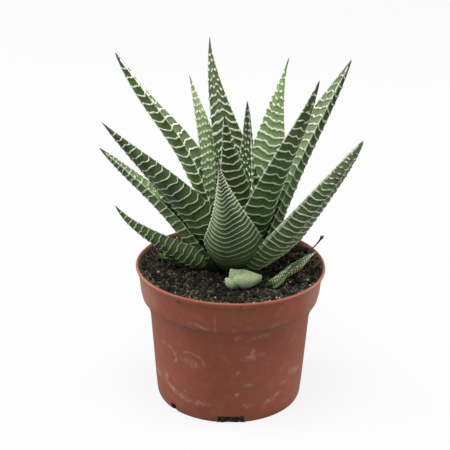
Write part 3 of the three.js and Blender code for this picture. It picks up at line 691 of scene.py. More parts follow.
# The young shoots on the soil: start, direction there, tip, and studs in place of bands
YOUNG = dict(at=150, turn=70, studs=(0.8, 0.85, 0.34), fade_studs=(0.3, 0.75), dry=0)
FRONT_SHOOT = [
    dict(YOUNG, start=(14, -11.5, 62.8), out=(-0.95, -0.25, 0.05), tip=(0.6, -16, 66.2), width=9.6,
         swell=0.6, waist=0.4, taper=0.35, pull=0.42, flick=8, roll=72, blunt=0.35, depth=1.25),
    dict(YOUNG, start=(5.4, -14.4, 63.4), out=(-0.8, -0.2, 0.5), tip=(0, -15.8, 69.5), width=9.6,
         swell=0.4, waist=0.9, flick=2, roll=66, blunt=0.3, depth=0.9),
    dict(YOUNG, start=(4.5, -14.8, 61.4), out=(-0.9, -0.3, 0.1), tip=(-2.2, -16, 64.8), width=7.2,
         swell=0.5, waist=0.7, taper=0.7, flick=4, roll=60, blunt=0.3, depth=1.1),
]
RIGHT_SHOOTS = [
    dict(start=(14.4, -14.4, 60.4), out=(0.75, 0.5, 0.35), at=38, tip=(28.6, -1.4, 66), width=7.2,
         roll=-38, blunt=0.25, depth=1.1, studs=(1.2, 1.25, 0.46),
         dry=0),
    dict(start=(20.5, -8.6, 60.8), out=(0.7, 0.6, 0.4), at=42, tip=(38.8, 6.4, 67.8), width=8.6, swell=0.5,
         roll=-24, blunt=0.25, depth=0.9, studs=(1.4, 1.7, 0.55),
         dry=0.1),
    dict(start=(19.5, -15.6, 60.2), out=(0.6, 0.7, 0.4), at=50, tip=(29, -2.8, 65.2), width=4.2, roll=-20,
         blunt=0.3, studs=(1.6, 2.2, 0.2),
         dry=0),
    dict(start=(28.2, -3.4, 63.6), out=(0.8, -0.3, 0.5), at=-20, tip=(31.8, -4.8, 65), width=2.2, pull=0.3,
         blunt=0.3, studs=(1.6, 2.2, 0.1),
         dry=0),
]


def leaf_seat(leaf):
    """Where the leaf starts, and which way it leaves from there"""
    if "start" in leaf:
        out = np.array(leaf["out"], float)
        return np.array(leaf["start"], float), out / np.linalg.norm(out)
    a = math.radians(leaf["at"])
    e = math.radians(leaf["rise"])
    r = max(float(follow(STOCK, leaf["seat"])) - SUNK_SEAT, 0.5)
    start = np.array([CROWN[0] + r * math.cos(a), CROWN[1] + r * math.sin(a), leaf["seat"]])
    return start, np.array([math.cos(e) * math.cos(a), math.cos(e) * math.sin(a), math.sin(e)])


def leaf_spine(leaf):
    """Length of the leaf's middle line, and a function giving points and directions along it"""
    start, out = leaf_seat(leaf)
    tip = np.array(leaf["tip"], float)
    span = np.linalg.norm(tip - start)
    chord = (tip - start) / span
    end = 2 * (out @ chord) * chord - out
    flick = math.radians(leaf["flick"])
    if flick:
        side = np.cross(end, [0, 0, 1.0])
        side /= np.linalg.norm(side)
        end = end * math.cos(flick) + np.cross(side, end) * math.sin(flick)
    pull = span * leaf["pull"]
    p = [start, start + out * pull, tip - end * pull, tip]
    t = np.linspace(0, 1, SPINE_POINTS)[:, None]
    points = (1 - t) ** 3 * p[0] + 3 * (1 - t) ** 2 * t * p[1] + 3 * (1 - t) * t ** 2 * p[2] + t ** 3 * p[3]
    ways = (1 - t) ** 2 * (p[1] - p[0]) + 2 * (1 - t) * t * (p[2] - p[1]) + t ** 2 * (p[3] - p[2])
    ways /= np.linalg.norm(ways, axis=1, keepdims=True)
    run = np.r_[0, np.cumsum(np.linalg.norm(np.diff(points, axis=0), axis=1))]
    points[:, 0] += leaf["aside"]

    def between(rows, s):
        return np.stack([np.interp(s, run, rows[:, k]) for k in range(3)], axis=-1)

    def at(s):
        way = between(ways, s)
        return between(points, s), way / np.linalg.norm(way, axis=-1, keepdims=True)

    return run[-1], at


def half_width(leaf, f):
    """Half the leaf's width at a share of its length"""
    full = leaf["width"] / 2
    swell = leaf["swell"]
    low = full * (leaf["waist"] + (1 - leaf["waist"]) * np.sin(np.pi / 2 * ramp(f / swell)))
    high = full * ramp((1 - f) / (1 - swell)) ** leaf["taper"]
    tip_room = TIP_ROOM * ramp((1 - f) / 0.035) ** 0.5
    return np.where(f < swell, low, np.maximum(high, tip_room))


def under_outline(leaf):
    """The keeled back of the cross section, from margin to margin: across, depth, share of the way, girth"""
    lo = leaf["keel"] - leaf["blunt"]
    hi = leaf["keel"] + leaf["blunt"]
    knots = np.array([(-1, 0), ((lo - 1) / 2 - 0.08, -SHOULDER), (lo, -1), (hi, -1),
                      ((hi + 1) / 2 + 0.08, -SHOULDER), (1, 0)])
    knots = np.vstack([2 * knots[0] - knots[1], knots, 2 * knots[-1] - knots[-2]])
    curve = []
    for i in range(1, len(knots) - 2):
        a, b, c, d = knots[i - 1:i + 3]
        for t in np.linspace(0, 1, 24, endpoint=False):
            curve.append(0.5 * (2 * b + (c - a) * t + (2 * a - 5 * b + 4 * c - d) * t ** 2
                                + (3 * b - a - 3 * c + d) * t ** 3))
    curve.append(knots[-2])
    curve = np.array(curve)
    run = np.r_[0, np.cumsum(np.linalg.norm(np.diff(curve * [1, 0.75], axis=0), axis=1))]
    share = np.linspace(0, 1, UNDER_FACES + 1)
    across = np.interp(share * run[-1], run, curve[:, 0])
    depth = np.interp(share * run[-1], run, curve[:, 1])
    return across, depth, share * 2 - 1, run[-1]


def band_places(leaf, length):
    """Where each band lies along the leaf, and the spacing there"""
    def pitch(s):
        return float(np.interp(s / length, [0, 0.5, 1], leaf["pitch"]))

    places = [leaf["anchor"]]
    while places[-1] + pitch(places[-1]) < length * 0.95:
        places.append(places[-1] + pitch(places[-1]))
    while places[0] - pitch(places[0]) > 5:
        places.insert(0, places[0] - pitch(places[0]))
    return places, pitch


def leaf_rows(leaf, length):
    """Rows of points along the leaf: distance, band height, band count, room to shift, and gap to a band"""
    if "studs" in leaf:
        distance = np.linspace(0, 1, int(length / STUD_ROW)) * length
        return np.stack([distance, *np.zeros((3, len(distance))), np.ones(len(distance))], axis=1)
    places, pitch = band_places(leaf, length)
    rows = [(0.0, 0.0, -1.0, 0.0, 1.0), (2.0, 0.0, -0.6, 0.0, 1.0)]
    for k, s in enumerate(places):
        half = min(leaf["line"] * 1.6, pitch(s) * 0.32)
        room = min(0.8, max(0, pitch(s) / 2 - half - 0.15))
        for step, height in BAND_ROWS:
            rows.append((s + step * half, height, k + step * half / pitch(s), room, 0.0))
        if pitch(s) > WIDE_PITCH:
            rows.append((s + pitch(s) / 2, 0.0, k + 0.5, 0.0, 1.0))
    last = rows[-1][0]
    for i in range(1, TIP_ROWS + 1):
        share = i / TIP_ROWS
        rows.append((last + (length - last) * share ** 0.8, 0.0, len(places) + share, 0.0, 1.0))
    return np.array([row for row in rows if row[0] <= length])


def hash_wave(*parts):
    """A steady number from 0 to 1 out of a few others"""
    total = sum(p * w for p, w in zip(parts, (12.9898, 78.233, 37.719)))
    return np.mod(np.abs(np.sin(total) * 43758.5453), 1.0)


class Skin:
    """A leaf's skin as grids: a row for each step along the leaf, a column for each point round it"""

    def __init__(self, traits):
        self.leaf = {**USUAL, **traits}
        self.length, self.spine = leaf_spine(self.leaf)
        self.rows = leaf_rows(self.leaf, self.length)
        columns = (self.rows[:, i][:, None] for i in range(5))
        self.distance, self.lift, self.count, self.room, self.gap = columns
        upper = 1 - 2 * np.arange(UPPER_FACES) / UPPER_FACES
        across, depth, share, self.girth = under_outline(self.leaf)
        self.u = np.r_[upper, across][None, :]
        self.q = np.r_[upper, share][None, :]
        self.back = np.r_[np.zeros(UPPER_FACES), depth][None, :]
        self.top = np.arange(self.u.size)[None, :] < UPPER_FACES
        self.margin = np.abs(self.u) > 0.999
        self.seed = self.leaf["at"] * 0.37
        self.number = np.rint(self.count)
        self.bend_bands()
        self.raise_bands()
        self.raise_rims()

    def bend_bands(self):
        """How far along the leaf each point lies: bands bend, and break into staggered beads near the tip"""
        leaf, s, q, top = self.leaf, self.distance, self.q, self.top
        fade = ramp(s / 14) * ramp((self.length - s) / 16)
        half = half_width(leaf, s / self.length)
        begins, how_much = leaf["dots"]
        begins_here = np.where(top, leaf.get("upper_dots", begins), begins + 0.25 * (1 - begins))
        self.broken = how_much * ramp((s / self.length - begins_here + 0.12) / 0.24)
        self.cells = q * half / leaf["step"] + hash_wave(self.number, self.seed)
        stagger = self.broken * self.room * np.cos(np.pi * self.cells)
        shift = np.where(top, follow(leaf["upper"], self.u), follow(leaf["under"], q))
        shift = shift * np.clip(half / (0.2 * leaf["width"]), 0.35, 1)
        wave = 0.30 * np.sin(6.9 * q + 1.9 * self.count + self.seed)
        wave = wave + 0.16 * np.sin(q * 13 + 3.7 * self.count + self.seed * 3 + 2 * top)
        bend = 0 if "studs" in leaf else shift + wave * leaf["wavy"]
        self.s = np.clip(s + bend * fade + stagger, 0, self.length)
        self.s[-1, :] = self.length
        self.s[0, :] = 0
        self.f = self.s / self.length
        self.w = half_width(leaf, self.f)

    def raise_bands(self):
        """How much of a band or stud each point has"""
        leaf, s, k = self.leaf, self.s, self.number
        reach = self.q * self.w
        if "studs" in leaf:
            self.band = self.studs(reach)
            return
        bead = (0.5 + 0.5 * np.cos(2 * np.pi * self.cells)) ** 0.8
        uneven = 0.5 + 0.5 * np.sin(reach * 1.15 + 2.1 * k + self.seed) * np.cos(reach * 0.43 - 1.3 * k)
        whole = (1 - self.broken) * (0.86 + 0.2 * uneven)
        beaded = self.broken * 1.35 * bead * (0.4 + 0.6 * uneven) ** 0.5
        start_in = ramp((s - 6) / 6)
        if "faint" in leaf:
            start_in = start_in * np.interp(s, [leaf["faint"] * 0.5, leaf["faint"]], [0.55, 1])
        self.band = ramp(self.lift * (whole + beaded) * start_in)

    def studs(self, reach):
        """Small round studs in slanting rows"""
        across, along, size = self.leaf["studs"]
        j = self.s / along
        line = np.rint(j)
        i = reach / across + 0.5 * np.mod(line, 2) + 0.12 * np.sin(3.1 * line)
        off = np.hypot((i - np.rint(i)) * across, (j - line) * along)
        low, high = self.leaf["fade_studs"]
        strong = ramp((self.f - low) / (high - low)) * np.where(self.top, 0.8, 1)
        return ramp(1.3 - off / size * 0.9) * strong * ramp((1 - self.f) / 0.04)

    def raise_rims(self):
        """Pale beaded rims along the two margins, ridges where the leaf has them, and the whole relief"""
        leaf, s, w = self.leaf, self.s, self.w
        self.slim = ramp(w / 3)
        off_margin = np.where(self.top, 1 - np.abs(self.u), (1 - np.abs(self.q)) * self.girth / 2) * w
        at_margin = ramp(1 - off_margin / MARGIN_WIDTH)
        self.rise = BAND_RISE * self.band * self.slim * (1 + MARGIN_RISE * at_margin)
        beads = 0.72 + 0.28 * np.cos(2 * np.pi * s / BEAD_PITCH + 2 * np.sin(s * 0.8))
        rim = at_margin * np.where(self.u < 0, *leaf["rims"]) * beads
        for face, place_low, place_high, strong, low, high in leaf["ridges"]:
            place = place_low + (place_high - place_low) * ramp((s - low) / (high - low))
            ridge = ramp(1 - np.abs(self.q - place) * w / RIDGE_HALF) * strong * (self.top == (face == 1))
            ridge = ridge * ramp((s - low) / 4) * ramp((high - s) / 4)
            rim = np.maximum(rim, ridge * beads)
            self.rise = self.rise + RIDGE_RISE * ridge * self.slim
        self.rim = rim * ramp(s / 10) * ramp((self.length - s) / 5)
        self.rise = self.rise + RIM_RISE * self.rim * self.slim

    def section(self):
        """Places across the leaf and up from its middle, with the relief standing square to the skin"""
        u, w = self.u, self.w
        thick = follow(THICKNESS, self.f) * self.leaf["depth"]
        cup = np.interp(self.f, [0, 0.35, 0.7, 1], [-0.22, *self.leaf["cup"], 0.45])
        v = np.where(self.top, cup * (1 - u ** 2), thick * self.back)
        du = np.gradient(np.broadcast_to(u, v.shape), axis=1)
        dv = np.gradient(v, axis=1)
        size = np.hypot(du, dv) + 1e-9
        nu = np.where(self.margin, np.sign(u), dv / size)
        nv = np.where(self.margin, 0, -du / size)
        return u * (w - SKIN_ALLOWANCE * self.slim) + nu * self.rise, v * w + nv * self.rise

    def points(self):
        """The place of every point, in millimetres"""
        leaf = self.leaf
        x, y = self.section()
        middle, way = self.spine(self.s)
        turned = math.radians(leaf["at"] + leaf["turn"])
        side = np.array([-math.sin(turned), math.cos(turned), 0])
        side = side - (way @ side)[..., None] * way
        side /= np.linalg.norm(side, axis=-1, keepdims=True)
        up = np.cross(way, side)
        roll = np.radians(leaf["roll"] + leaf["twist"] * self.f)[..., None]
        across_way = side * np.cos(roll) + up * np.sin(roll)
        top_way = up * np.cos(roll) - side * np.sin(roll)
        points = middle + across_way * x[..., None] + top_way * y[..., None]
        points[0, :] = points[0, :].mean(axis=0)
        points[-1, :] = self.spine(np.array(self.length))[0]
        return points

    def patches(self, key):
        """Soft patches of another colour, each on one face of the leaf"""
        total = np.zeros(self.f.shape)
        for face, q0, s0, wide, long, amount in self.leaf[key]:
            spot = np.exp(-((self.q - q0) / wide) ** 2 - ((self.s - s0) / long) ** 2) * amount
            total = np.maximum(total, np.where(self.top == (face == 1), spot, 0))
        return total

    def seat_to_tip(self, key):
        return np.interp(self.f, [0.15, 0.5, 0.85], self.leaf[key])

    def marks(self):
        """What the skin's material reads"""
        shape = self.f.shape
        # shade and white carry each leaf's painted light and shade, with some of its own tone
        return dict(band=self.band, rim=self.rim, along=self.f,
                    inner=np.broadcast_to(np.where(self.margin, 0.5, self.top), shape),
                    dry=ramp((self.f - 0.88) / 0.1) * self.leaf["dry"], gap=np.broadcast_to(self.gap, shape),
                    shade=self.seat_to_tip("shade") * np.where(self.top, self.leaf["inner_shade"], 1),
                    white=self.seat_to_tip("white"), pale=self.patches("pale"), brown=self.patches("brown"))


def shape_leaf(traits):
    """One leaf: a rolled sheet laid on the leaf's form, raised along its bands or studs"""
    skin = Skin(traits)
    sheet, row, column = rolled_sheet(UPPER_FACES + UNDER_FACES, len(skin.rows) - 1)
    put_points(sheet, skin.points()[row, column])
    for name, grid in skin.marks().items():
        carry(sheet, name, grid[row, column])
    close_skin(sheet)
    return sheet


def make_leaves():
    for leaf in LEAVES:
        name = leaf["node"].removeprefix("leaf_") + "_leaf"
        settle(shape_leaf(leaf), name, leaf["node"], PAINTS[leaf["paint"]])
    front = join([shape_leaf(leaf) for leaf in FRONT_SHOOT])
    settle(front, "front_shoot", "offset_front", PAINTS["pale_shoot"])
    right = join([shape_leaf(leaf) for leaf in RIGHT_SHOOTS])
    settle(right, "right_shoots", "offset_right", PAINTS["shoot"])


# Pot

POT_SIDES = 160
OUTSIDE = [(31.6, 0), (32.3, 0.6), (32.85, 2.0), (33.5, 8), (34.45, 20), (36.1, 40.5), (36.4, 42.1),
           (36.8, 43.7), (37.25, 45.2), (37.9, 46.6), (38.7, 48.1), (39.8, 49.6), (40.6, 53), (41.05, 57),
           (41.5, 60.6), (42.35, 61.9), (42.75, 62.7), (42.85, 63.5)]
INSIDE = [(42.4, 64.0), (41.8, 63.9), (41.4, 63.2), (40.4, 58.5), (39.0, 51.0), (37.8, 48.0), (34.4, 40.5),
          (31.2, 1.6)]
SOFT_EDGE = 0.3
# widths of the drain notches, from the front one on to the right: the second is closed, the last small
NOTCH_WIDTHS = (11.9, 0, 11, 11, 11, 11, 3.6)
FIRST_NOTCH = -88
# thickness and height of the block that cuts a notch, and how far out its middle lies
CUTTER_WIDTH = 11
CUTTER_THICK = 7
CUTTER_TALL = 7.6
CUTTER_RADIUS = 32.5
# the same of the dark soil-coloured plug that fills a notch as painted shade, with how far it is lifted and
# how much wider it is
PLUG_THICK = 2.2
PLUG_TALL = 3.5
PLUG_RADIUS = 30.4
PLUG_LIFT = 1.82
PLUG_SPARE = 0.6
# heading of the side where the collar stands high, and how much
HIGH_SIDE = -112
RIM_LIFT = 1.4


def pot_radius(z):
    """Radius of the pot's outside"""
    return float(np.interp(z, [p[1] for p in OUTSIDE], [p[0] for p in OUTSIDE]))


def rim_lift(x, y, z):
    """How much higher than the rest the collar stands at its front left, where the pot is out of true"""
    round_way = max(0, math.cos(math.atan2(y, x) - math.radians(HIGH_SIDE)))
    return RIM_LIFT * round_way * ramp((z - 50) / 13)


def inner_wall(z):
    """Radius of the pot's inside near the soil's top"""
    return float(np.interp(z, [48.0, 51.0, 58.5, 63.2], [37.8, 39.0, 40.4, 41.4]))


def grow_ring(from_r, from_z, to_r, to_z):
    """Extrudes the selected face and sizes it to the next ring of a turned profile"""
    bpy.ops.mesh.extrude_region_move(TRANSFORM_OT_translate={"value": (0, 0, (to_z - from_z) * MM)})
    scale = to_r / from_r
    bpy.ops.transform.resize(value=(scale, scale, 1), center_override=(0, 0, to_z * MM))


def grow_rings(profile):
    for (r0, z0), (r1, z1) in zip(profile, profile[1:]):
        grow_ring(r0, z0, r1, z1)


def close_solid():
    """Turns every face of the piece in edit mode outwards and leaves edit mode"""
    bpy.ops.mesh.select_all(action="SELECT")
    bpy.ops.mesh.normals_make_consistent(inside=False)
    leave_edit()


def apply_modifiers(piece):
    bpy.context.view_layer.objects.active = piece
    for modifier in list(piece.modifiers):
        bpy.ops.object.modifier_apply(modifier=modifier.name)


def new_block(thick, wide, tall):
    """A block with its sizes in its mesh"""
    bpy.ops.mesh.primitive_cube_add(size=1)
    block = bpy.context.object
    block.scale = (thick * MM, wide * MM, tall * MM)
    bake_place(block)
    return block


def copies_round(pattern, radius):
    """Copies of a block, one at each notch, each with its own mesh"""
    copies = []
    for i, width in enumerate(NOTCH_WIDTHS):
        if width == 0:
            continue
        a = math.radians(FIRST_NOTCH + i * 360 / len(NOTCH_WIDTHS))
        block = pattern.copy()
        block.data = pattern.data.copy()
        block.scale = (1, width / CUTTER_WIDTH, 1)
        block.rotation_euler = (0, 0, a)
        block.location = (radius * math.cos(a) * MM, radius * math.sin(a) * MM, 0)
        bpy.context.collection.objects.link(block)
        copies.append(block)
    bpy.data.objects.remove(pattern)
    return copies


def cut_notches(pot):
    """Drain notches round the foot"""
    cutter = new_block(CUTTER_THICK, CUTTER_WIDTH, CUTTER_TALL)
    edit(cutter)
    bpy.ops.mesh.bevel(offset=0.4 * MM, segments=2)
    leave_edit()
    tools = copies_round(cutter, CUTTER_RADIUS)
    for tool in tools:
        cut = pot.modifiers.new("drain_notch", "BOOLEAN")
        cut.operation = "DIFFERENCE"
        cut.solver = "EXACT"
        cut.object = tool
    apply_modifiers(pot)
    for tool in tools:
        bpy.data.objects.remove(tool)


def make_pot():
    """A turned pot, grown ring by ring from under its floor up the outside, over the lip and down again"""
    bpy.ops.mesh.primitive_circle_add(vertices=POT_SIDES, radius=OUTSIDE[0][0] * MM, fill_type="NGON")
    pot = bpy.context.object
    edit(pot)
    grow_rings(OUTSIDE + INSIDE)
    close_solid()
    soften = pot.modifiers.new("soft_edges", "BEVEL")
    soften.width = SOFT_EDGE * MM
    soften.segments = 3
    soften.limit_method = "ANGLE"
    soften.angle_limit = math.radians(14)
    apply_modifiers(pot)
    for vertex in pot.data.vertices:
        x, y, z = vertex.co / MM
        vertex.co.z += rim_lift(x, y, z) * MM
    cut_notches(pot)
    pick(pot)
    bpy.ops.object.shade_smooth_by_angle(angle=math.radians(32))
    return settle(pot, "nursery_pot", "pot", pot_paint())


def make_notch_shade_plugs():
    """Dark soil-coloured plugs in the drain notches, just inside the wall: painted shade for the shadow seen
    through them
    """
    dice = random.Random(7)
    block = new_block(PLUG_THICK, CUTTER_WIDTH + PLUG_SPARE, PLUG_TALL)
    edit(block)
    bpy.ops.mesh.subdivide(number_cuts=9)
    leave_edit()
    for vertex in block.data.vertices:
        vertex.co.z += PLUG_LIFT * MM
        if vertex.co.x > 0:
            vertex.co.x += dice.uniform(-0.5, 0.25) * MM
    plugs = join(copies_round(block, PLUG_RADIUS))
    bake_place(plugs)
    bpy.ops.object.shade_smooth_by_angle(angle=math.radians(50))
    paint = earth_paint("notch_shade_plug", 0x1B1A16, 0x58554B, scale=600.0)
    return settle(plugs, "shade_plugs_in_notches", None, paint)


# Soil

SOIL_SIDES = 260
SOIL_RADIUS = 40.1
SOIL_EDGE = 59.4
SOIL_WALLS = [(30.7, 1.9), (33.9, 40.5), (37.3, 48), (38.6, 51), (40.0, 58.4), (SOIL_RADIUS, SOIL_EDGE)]
RING_GAP = 0.72
# how high the soil and the litter may lie, how far out the litter may, and the collar's height beside them
HIGHEST_SOIL = 63.6
HIGHEST_LITTER = 63.4
LITTER_REACH = 40.6
BESIDE_COLLAR = 63


def hump(x, middle, wide):
    """1 at the middle, less and less away from it"""
    return np.exp(-((x - middle) / wide) ** 2)


def soil_height(x, y):
    """Height of the soil: crumbs, a low heap by the plant, and soil pushed up against the pot's wall"""
    r = np.hypot(x, y)
    heading = np.degrees(np.arctan2(y, x))
    crumbs = (np.sin(x * 0.61 + 1.3) * np.cos(y * 0.57 - 0.4) + 0.6 * np.sin(x * 1.13 - y * 0.87)
              + 0.4 * np.cos(x * 0.31 + y * 1.41))
    heap = 1.4 * hump(np.hypot(x - CROWN[0], y - CROWN[1]), 0, 17)

    def drift(rise, middle, wide, start, run):
        return rise * hump(heading, middle, wide) * ramp((r - start) / run)

    bank = drift(3.2, 22, 24, start=24, run=14)
    spill = drift(1.2, 9, 12, start=35, run=4)
    hollow = hump(heading, 44, 13)
    wall = 3.0 * ramp((r - 32) / 8) ** 1.5 * (1 - hollow)
    pushed_up = np.minimum(np.maximum(bank * (1 - 0.6 * hollow), wall) + spill, 4.2)
    return SOIL_EDGE + crumbs * 0.35 + heap + pushed_up


def crumble(x, y):
    """Fine lumps on the soil, in millimetres"""
    big = noise.noise(Vector((x * 0.45, y * 0.45, 3.1)))
    small = noise.noise(Vector((x * 1.1, y * 1.1, 7.7)))
    tiny = noise.noise(Vector((x * 2.3, y * 2.3, 1.9)))
    return 0.7 * big + 0.65 * small + 0.4 * tiny


def soil_lift(x, y):
    """How far the soil follows the collar up at its high side"""
    return rim_lift(x, y, BESIDE_COLLAR) * ramp((math.hypot(x, y) - 22) / 14)


def make_soil():
    foot_radius, foot = SOIL_WALLS[0]
    bpy.ops.mesh.primitive_circle_add(vertices=SOIL_SIDES, radius=foot_radius * MM, fill_type="NGON",
                                      location=(0, 0, foot * MM))
    soil = bpy.context.object
    bake_place(soil)
    edit(soil)
    grow_rings(SOIL_WALLS)
    radius = SOIL_RADIUS
    while radius > 2:
        bpy.ops.mesh.inset(thickness=RING_GAP * MM, use_even_offset=False)
        radius -= RING_GAP
    bpy.ops.mesh.poke()
    close_solid()
    points = points_of(soil) / MM
    for point in points:
        x, y, z = point
        if z > SOIL_EDGE - 0.2:
            r = math.hypot(x, y)
            lumps = crumble(x, y) * (0.3 + 0.7 * ramp((SOIL_RADIUS - r) / 1.5))
            level = min(soil_height(x, y) + lumps, HIGHEST_SOIL)
            point[2] = level + soil_lift(x, y)
            reach = inner_wall(level) - 0.2
            point[:2] *= 1 + (reach / SOIL_RADIUS - 1) * ramp((r - 34) / 6)
    put_points(soil, points)
    bpy.ops.object.shade_smooth()
    return settle(soil, "potting_soil", "soil", soil_paint())


def scatter(name, count, seed, size, flat, paint, low=9.0, high=39.6, long=1.0, sides=1, sunk=0.15,
            spots=()):
    """Small lumps or chips strewn on the soil between two radii: one is shaped, the rest are copies of it

    spots are fixed places and sizes for the first of them.
    """
    dice = random.Random(seed)
    bpy.ops.mesh.primitive_ico_sphere_add(subdivisions=sides, radius=1)
    lump = bpy.context.object
    for vertex in lump.data.vertices:
        vertex.co *= 1 + 0.3 * dice.uniform(-1, 1)
    copies = []
    for i in range(count):
        if i < len(spots):
            x, y, fixed = spots[i]
        else:
            r = math.sqrt(dice.uniform(low ** 2, high ** 2))
            a = dice.uniform(0, 2 * math.pi)
            x, y, fixed = r * math.cos(a), r * math.sin(a), None
        s = fixed or size[0] + (size[1] - size[0]) * dice.random() ** 2
        piece = lump.copy()
        piece.data = lump.data.copy()
        ground = min(soil_height(x, y) + crumble(x, y), HIGHEST_LITTER) + soil_lift(x, y)
        over = max(0, math.hypot(x, y) + s * max(1, long) - LITTER_REACH)
        x *= 1 - over / LITTER_REACH
        y *= 1 - over / LITTER_REACH
        piece.location = (x * MM, y * MM, (ground + s * flat * (1 - 2 * sunk)) * MM)
        piece.rotation_euler = (dice.uniform(-0.5, 0.5), dice.uniform(-0.5, 0.5), dice.uniform(0, 6.28))
        piece.scale = (s * long * MM, s * MM, s * flat * MM)
        bpy.context.collection.objects.link(piece)
        copies.append(piece)
    bpy.data.objects.remove(lump)
    heap = join(copies)
    bake_place(heap)
    return settle(heap, name, None, paint)


# the largest pale grains: place and size
PALE_SPOTS = ((-23.6, -31.0, 0.62), (-3.4, -33.4, 0.75), (-6.2, -33.2, 0.5), (-30.4, 14.6, 0.6),
              (-32.6, -2.0, 0.6), (-28.7, 19.3, 0.65), (34.6, -8.8, 0.65), (10.2, -36.0, 0.75),
              (17.5, -31.2, 0.55), (20.2, -30.6, 0.5))


def make_litter():
    scatter("dark_crumbs", 800, 11, (0.45, 1.5), 0.75, earth_paint("dark_crumb", 0x161512, 0x34302A))
    scatter("brown_crumbs", 300, 12, (0.3, 1.0), 0.75, earth_paint("brown_crumb", 0x403A30, 0x7E725F))
    scatter("rust_bits", 44, 13, (0.25, 0.7), 0.5, earth_paint("rust_bit", 0x6B4630, 0x9A6E52), long=1.5)
    scatter("pale_grains", 90, 14, (0.2, 0.5), 0.85, earth_paint("pale_grain", 0xB9AD97, 0xE6DECB, rough=0.8),
            spots=PALE_SPOTS, sides=2, sunk=0.05)
    scatter("wood_fibres", 150, 15, (0.16, 0.28), 1.0, earth_paint("wood_fibre", 0x5E4635, 0x9A7E62),
            long=9.0, high=36.5, sunk=0.0)
    scatter("moss_bits", 110, 16, (0.3, 0.8), 0.6, earth_paint("moss_bit", 0x36481F, 0x5F763A), low=14)


# Seedling and dry stalk

SEEDLING = (-31.4, 11.8)
# how far the tips of the seedling's leaves lie from its foot
SEED_TIPS = ((-1.9, -0.8, 1.9), (3.0, -1.6, 2.1), (0.6, 2.6, 2.4), (-1.0, 1.4, 3.2), (1.8, 0.9, 3.0))
STALK_FOOT = (34.5, 14.3)


def sweep(path, radii, rounds=10):
    """A round closed rod along a path, with a radius at each of its points"""
    path = np.array(path, float)
    sheet, row, column = rolled_sheet(rounds, len(path) + 1)
    ways = np.gradient(path, axis=0)
    ways /= np.linalg.norm(ways, axis=1, keepdims=True)
    side = np.cross(ways, [0.31, 0.77, 0.2])
    side /= np.linalg.norm(side, axis=1, keepdims=True)
    up = np.cross(ways, side)
    turn = 2 * np.pi * np.arange(rounds + 1) / rounds
    round_way = np.cos(turn)[None, :, None] * side[:, None] + np.sin(turn)[None, :, None] * up[:, None]
    rings = path[:, None] + np.array(radii)[:, None, None] * round_way
    ends = [np.repeat(path[i][None, None], rounds + 1, axis=1) for i in (0, -1)]
    points = np.concatenate([ends[0], rings, ends[1]])
    put_points(sheet, points[row, column])
    close_skin(sheet)
    return sheet


def smooth_path(knots, radii, steps=24):
    """The knots joined by an even, rounded path, with the radii to match"""
    t = np.linspace(0, 1, len(knots))
    fine = np.linspace(0, 1, steps)
    path = np.stack([np.interp(fine, t, [k[i] for k in knots]) for i in range(3)], axis=1)
    for _ in range(3):
        path[1:-1] = (path[:-2] + 2 * path[1:-1] + path[2:]) / 4
    return path, np.interp(fine, t, radii)


def small_blade(start, tip, width=1.5, thick=0.5, sag=0.6):
    """A little round-ended seed leaf, shaped from a ball"""
    bpy.ops.mesh.primitive_uv_sphere_add(segments=20, ring_count=14, radius=1)
    blade = bpy.context.object
    points = points_of(blade)
    start, tip = np.array(start, float), np.array(tip, float)
    way = tip - start
    side = np.cross(way, [0, 0, 1.0])
    side /= np.linalg.norm(side)
    t = (1 - points[:, 2:3]) / 2
    broad = width / 2 * (0.35 + 0.9 * t)
    droop = sag * (4 * t * (1 - t)) - 0.25 * np.abs(points[:, 0:1])
    place = start + way * t + side * points[:, 0:1] * broad
    place[:, 2:3] += points[:, 1:2] * thick / 2 - droop * 0.5
    put_points(blade, place)
    bpy.ops.object.shade_smooth()
    return blade


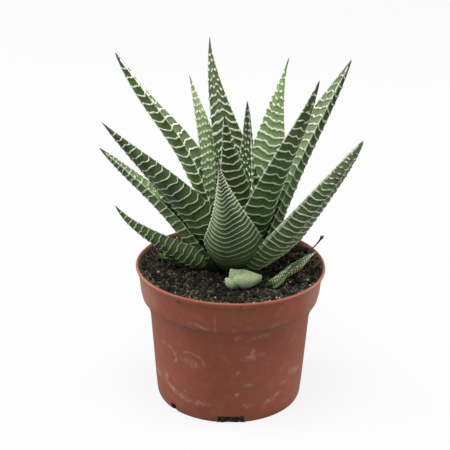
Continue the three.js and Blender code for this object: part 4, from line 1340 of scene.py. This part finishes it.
def make_seedling():
    """A tiny seedling: a short stem with five leaves"""
    x, y = SEEDLING
    ground = float(soil_height(x, y))
    stem, radii = smooth_path([(x, y, ground - 1.5), (x + 0.1, y, ground + 1.4), (x, y + 0.2, ground + 3.0)],
                              [0.45, 0.35, 0.3], 12)
    parts = [sweep(stem, radii)]
    for dx, dy, dz in SEED_TIPS:
        parts.append(small_blade((x, y, ground + 1.4), (x + dx, y + dy, ground + dz)))
    seedling = join(parts)
    return settle(seedling, "weed_seedling_leaves", "weed_seedling",
                  earth_paint("seedling_green", 0x4E6A26, 0x7F9A45, scale=260.0, depth=0.3, rough=0.6))


def make_stalk():
    """A dried flower stalk that leans over the pot's edge, with its dark withered head"""
    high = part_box("dry_stalk")[1]
    foot = (*STALK_FOOT, float(soil_height(*STALK_FOOT)) - 1.0)
    head = (high[0] / MM - 0.9, high[1] / MM - 0.9, high[2] / MM - 1.3)
    knots = [foot, (36.6, 15.8, foot[2] + 2.6), (39.0, 17.4, foot[2] + 3.9), head]
    stalk = sweep(*smooth_path(knots, [0.42, 0.34, 0.3, 0.5]))
    ball = np.array(head)
    husk = sweep(*smooth_path([ball - (0.9, 0.5, 0.7), ball, ball + (0.8, 0.5, 0.9)], [0.25, 0.85, 0.2], 10))
    flap = sweep(*smooth_path([ball - (0.2, 0.1, 0.2), ball + (-0.6, 0.3, 1.0)], [0.5, 0.12], 8))
    dried = join([stalk, husk, flap])
    return settle(dried, "dry_stalk_and_husk", "dry_stalk",
                  earth_paint("dry_husk", 0x3A3330, 0x6E6258, scale=500.0, depth=0.6, rough=0.85))


# Run

MOTTLE = mottle_group()
STAIN = stain_group()
PAINTS = {
    "deep": leaf_paint("leaf_dark_green", 0x2A3A1D, 0x40542F, 0x586A48),
    "mid": leaf_paint("leaf_mid_green", 0x32462A, 0x4B6338, 0x61794A),
    "broad": leaf_paint("leaf_broad_green", 0x2B3B20, 0x3F5230, 0x506A3C),
    "light": leaf_paint("leaf_light_green", 0x5C7246, 0x748A5C, 0x7A9163, bright=(0xD0DEB2, 0xECF4D8)),
    "shoot": leaf_paint("shoot_green", 0x4A5F38, 0x6E8452, 0x7C935C, band=(0xC4D0AC, 0xD6DEC4)),
    "pale_shoot": leaf_paint("pale_shoot_green", 0x84996A, 0x9DB080, 0x94A876, band=(0xCAD6B4, 0xCAD6B4)),
}

set_camera()
studio()
make_pot()
make_notch_shade_plugs()
make_soil()
make_litter()
make_leaves()
make_seedling()
make_stalk()

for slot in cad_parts["root_stock"].material_slots:
    slot.material = earth_paint("stock_skin", 0x55603F, 0x7C8460, rough=0.7)
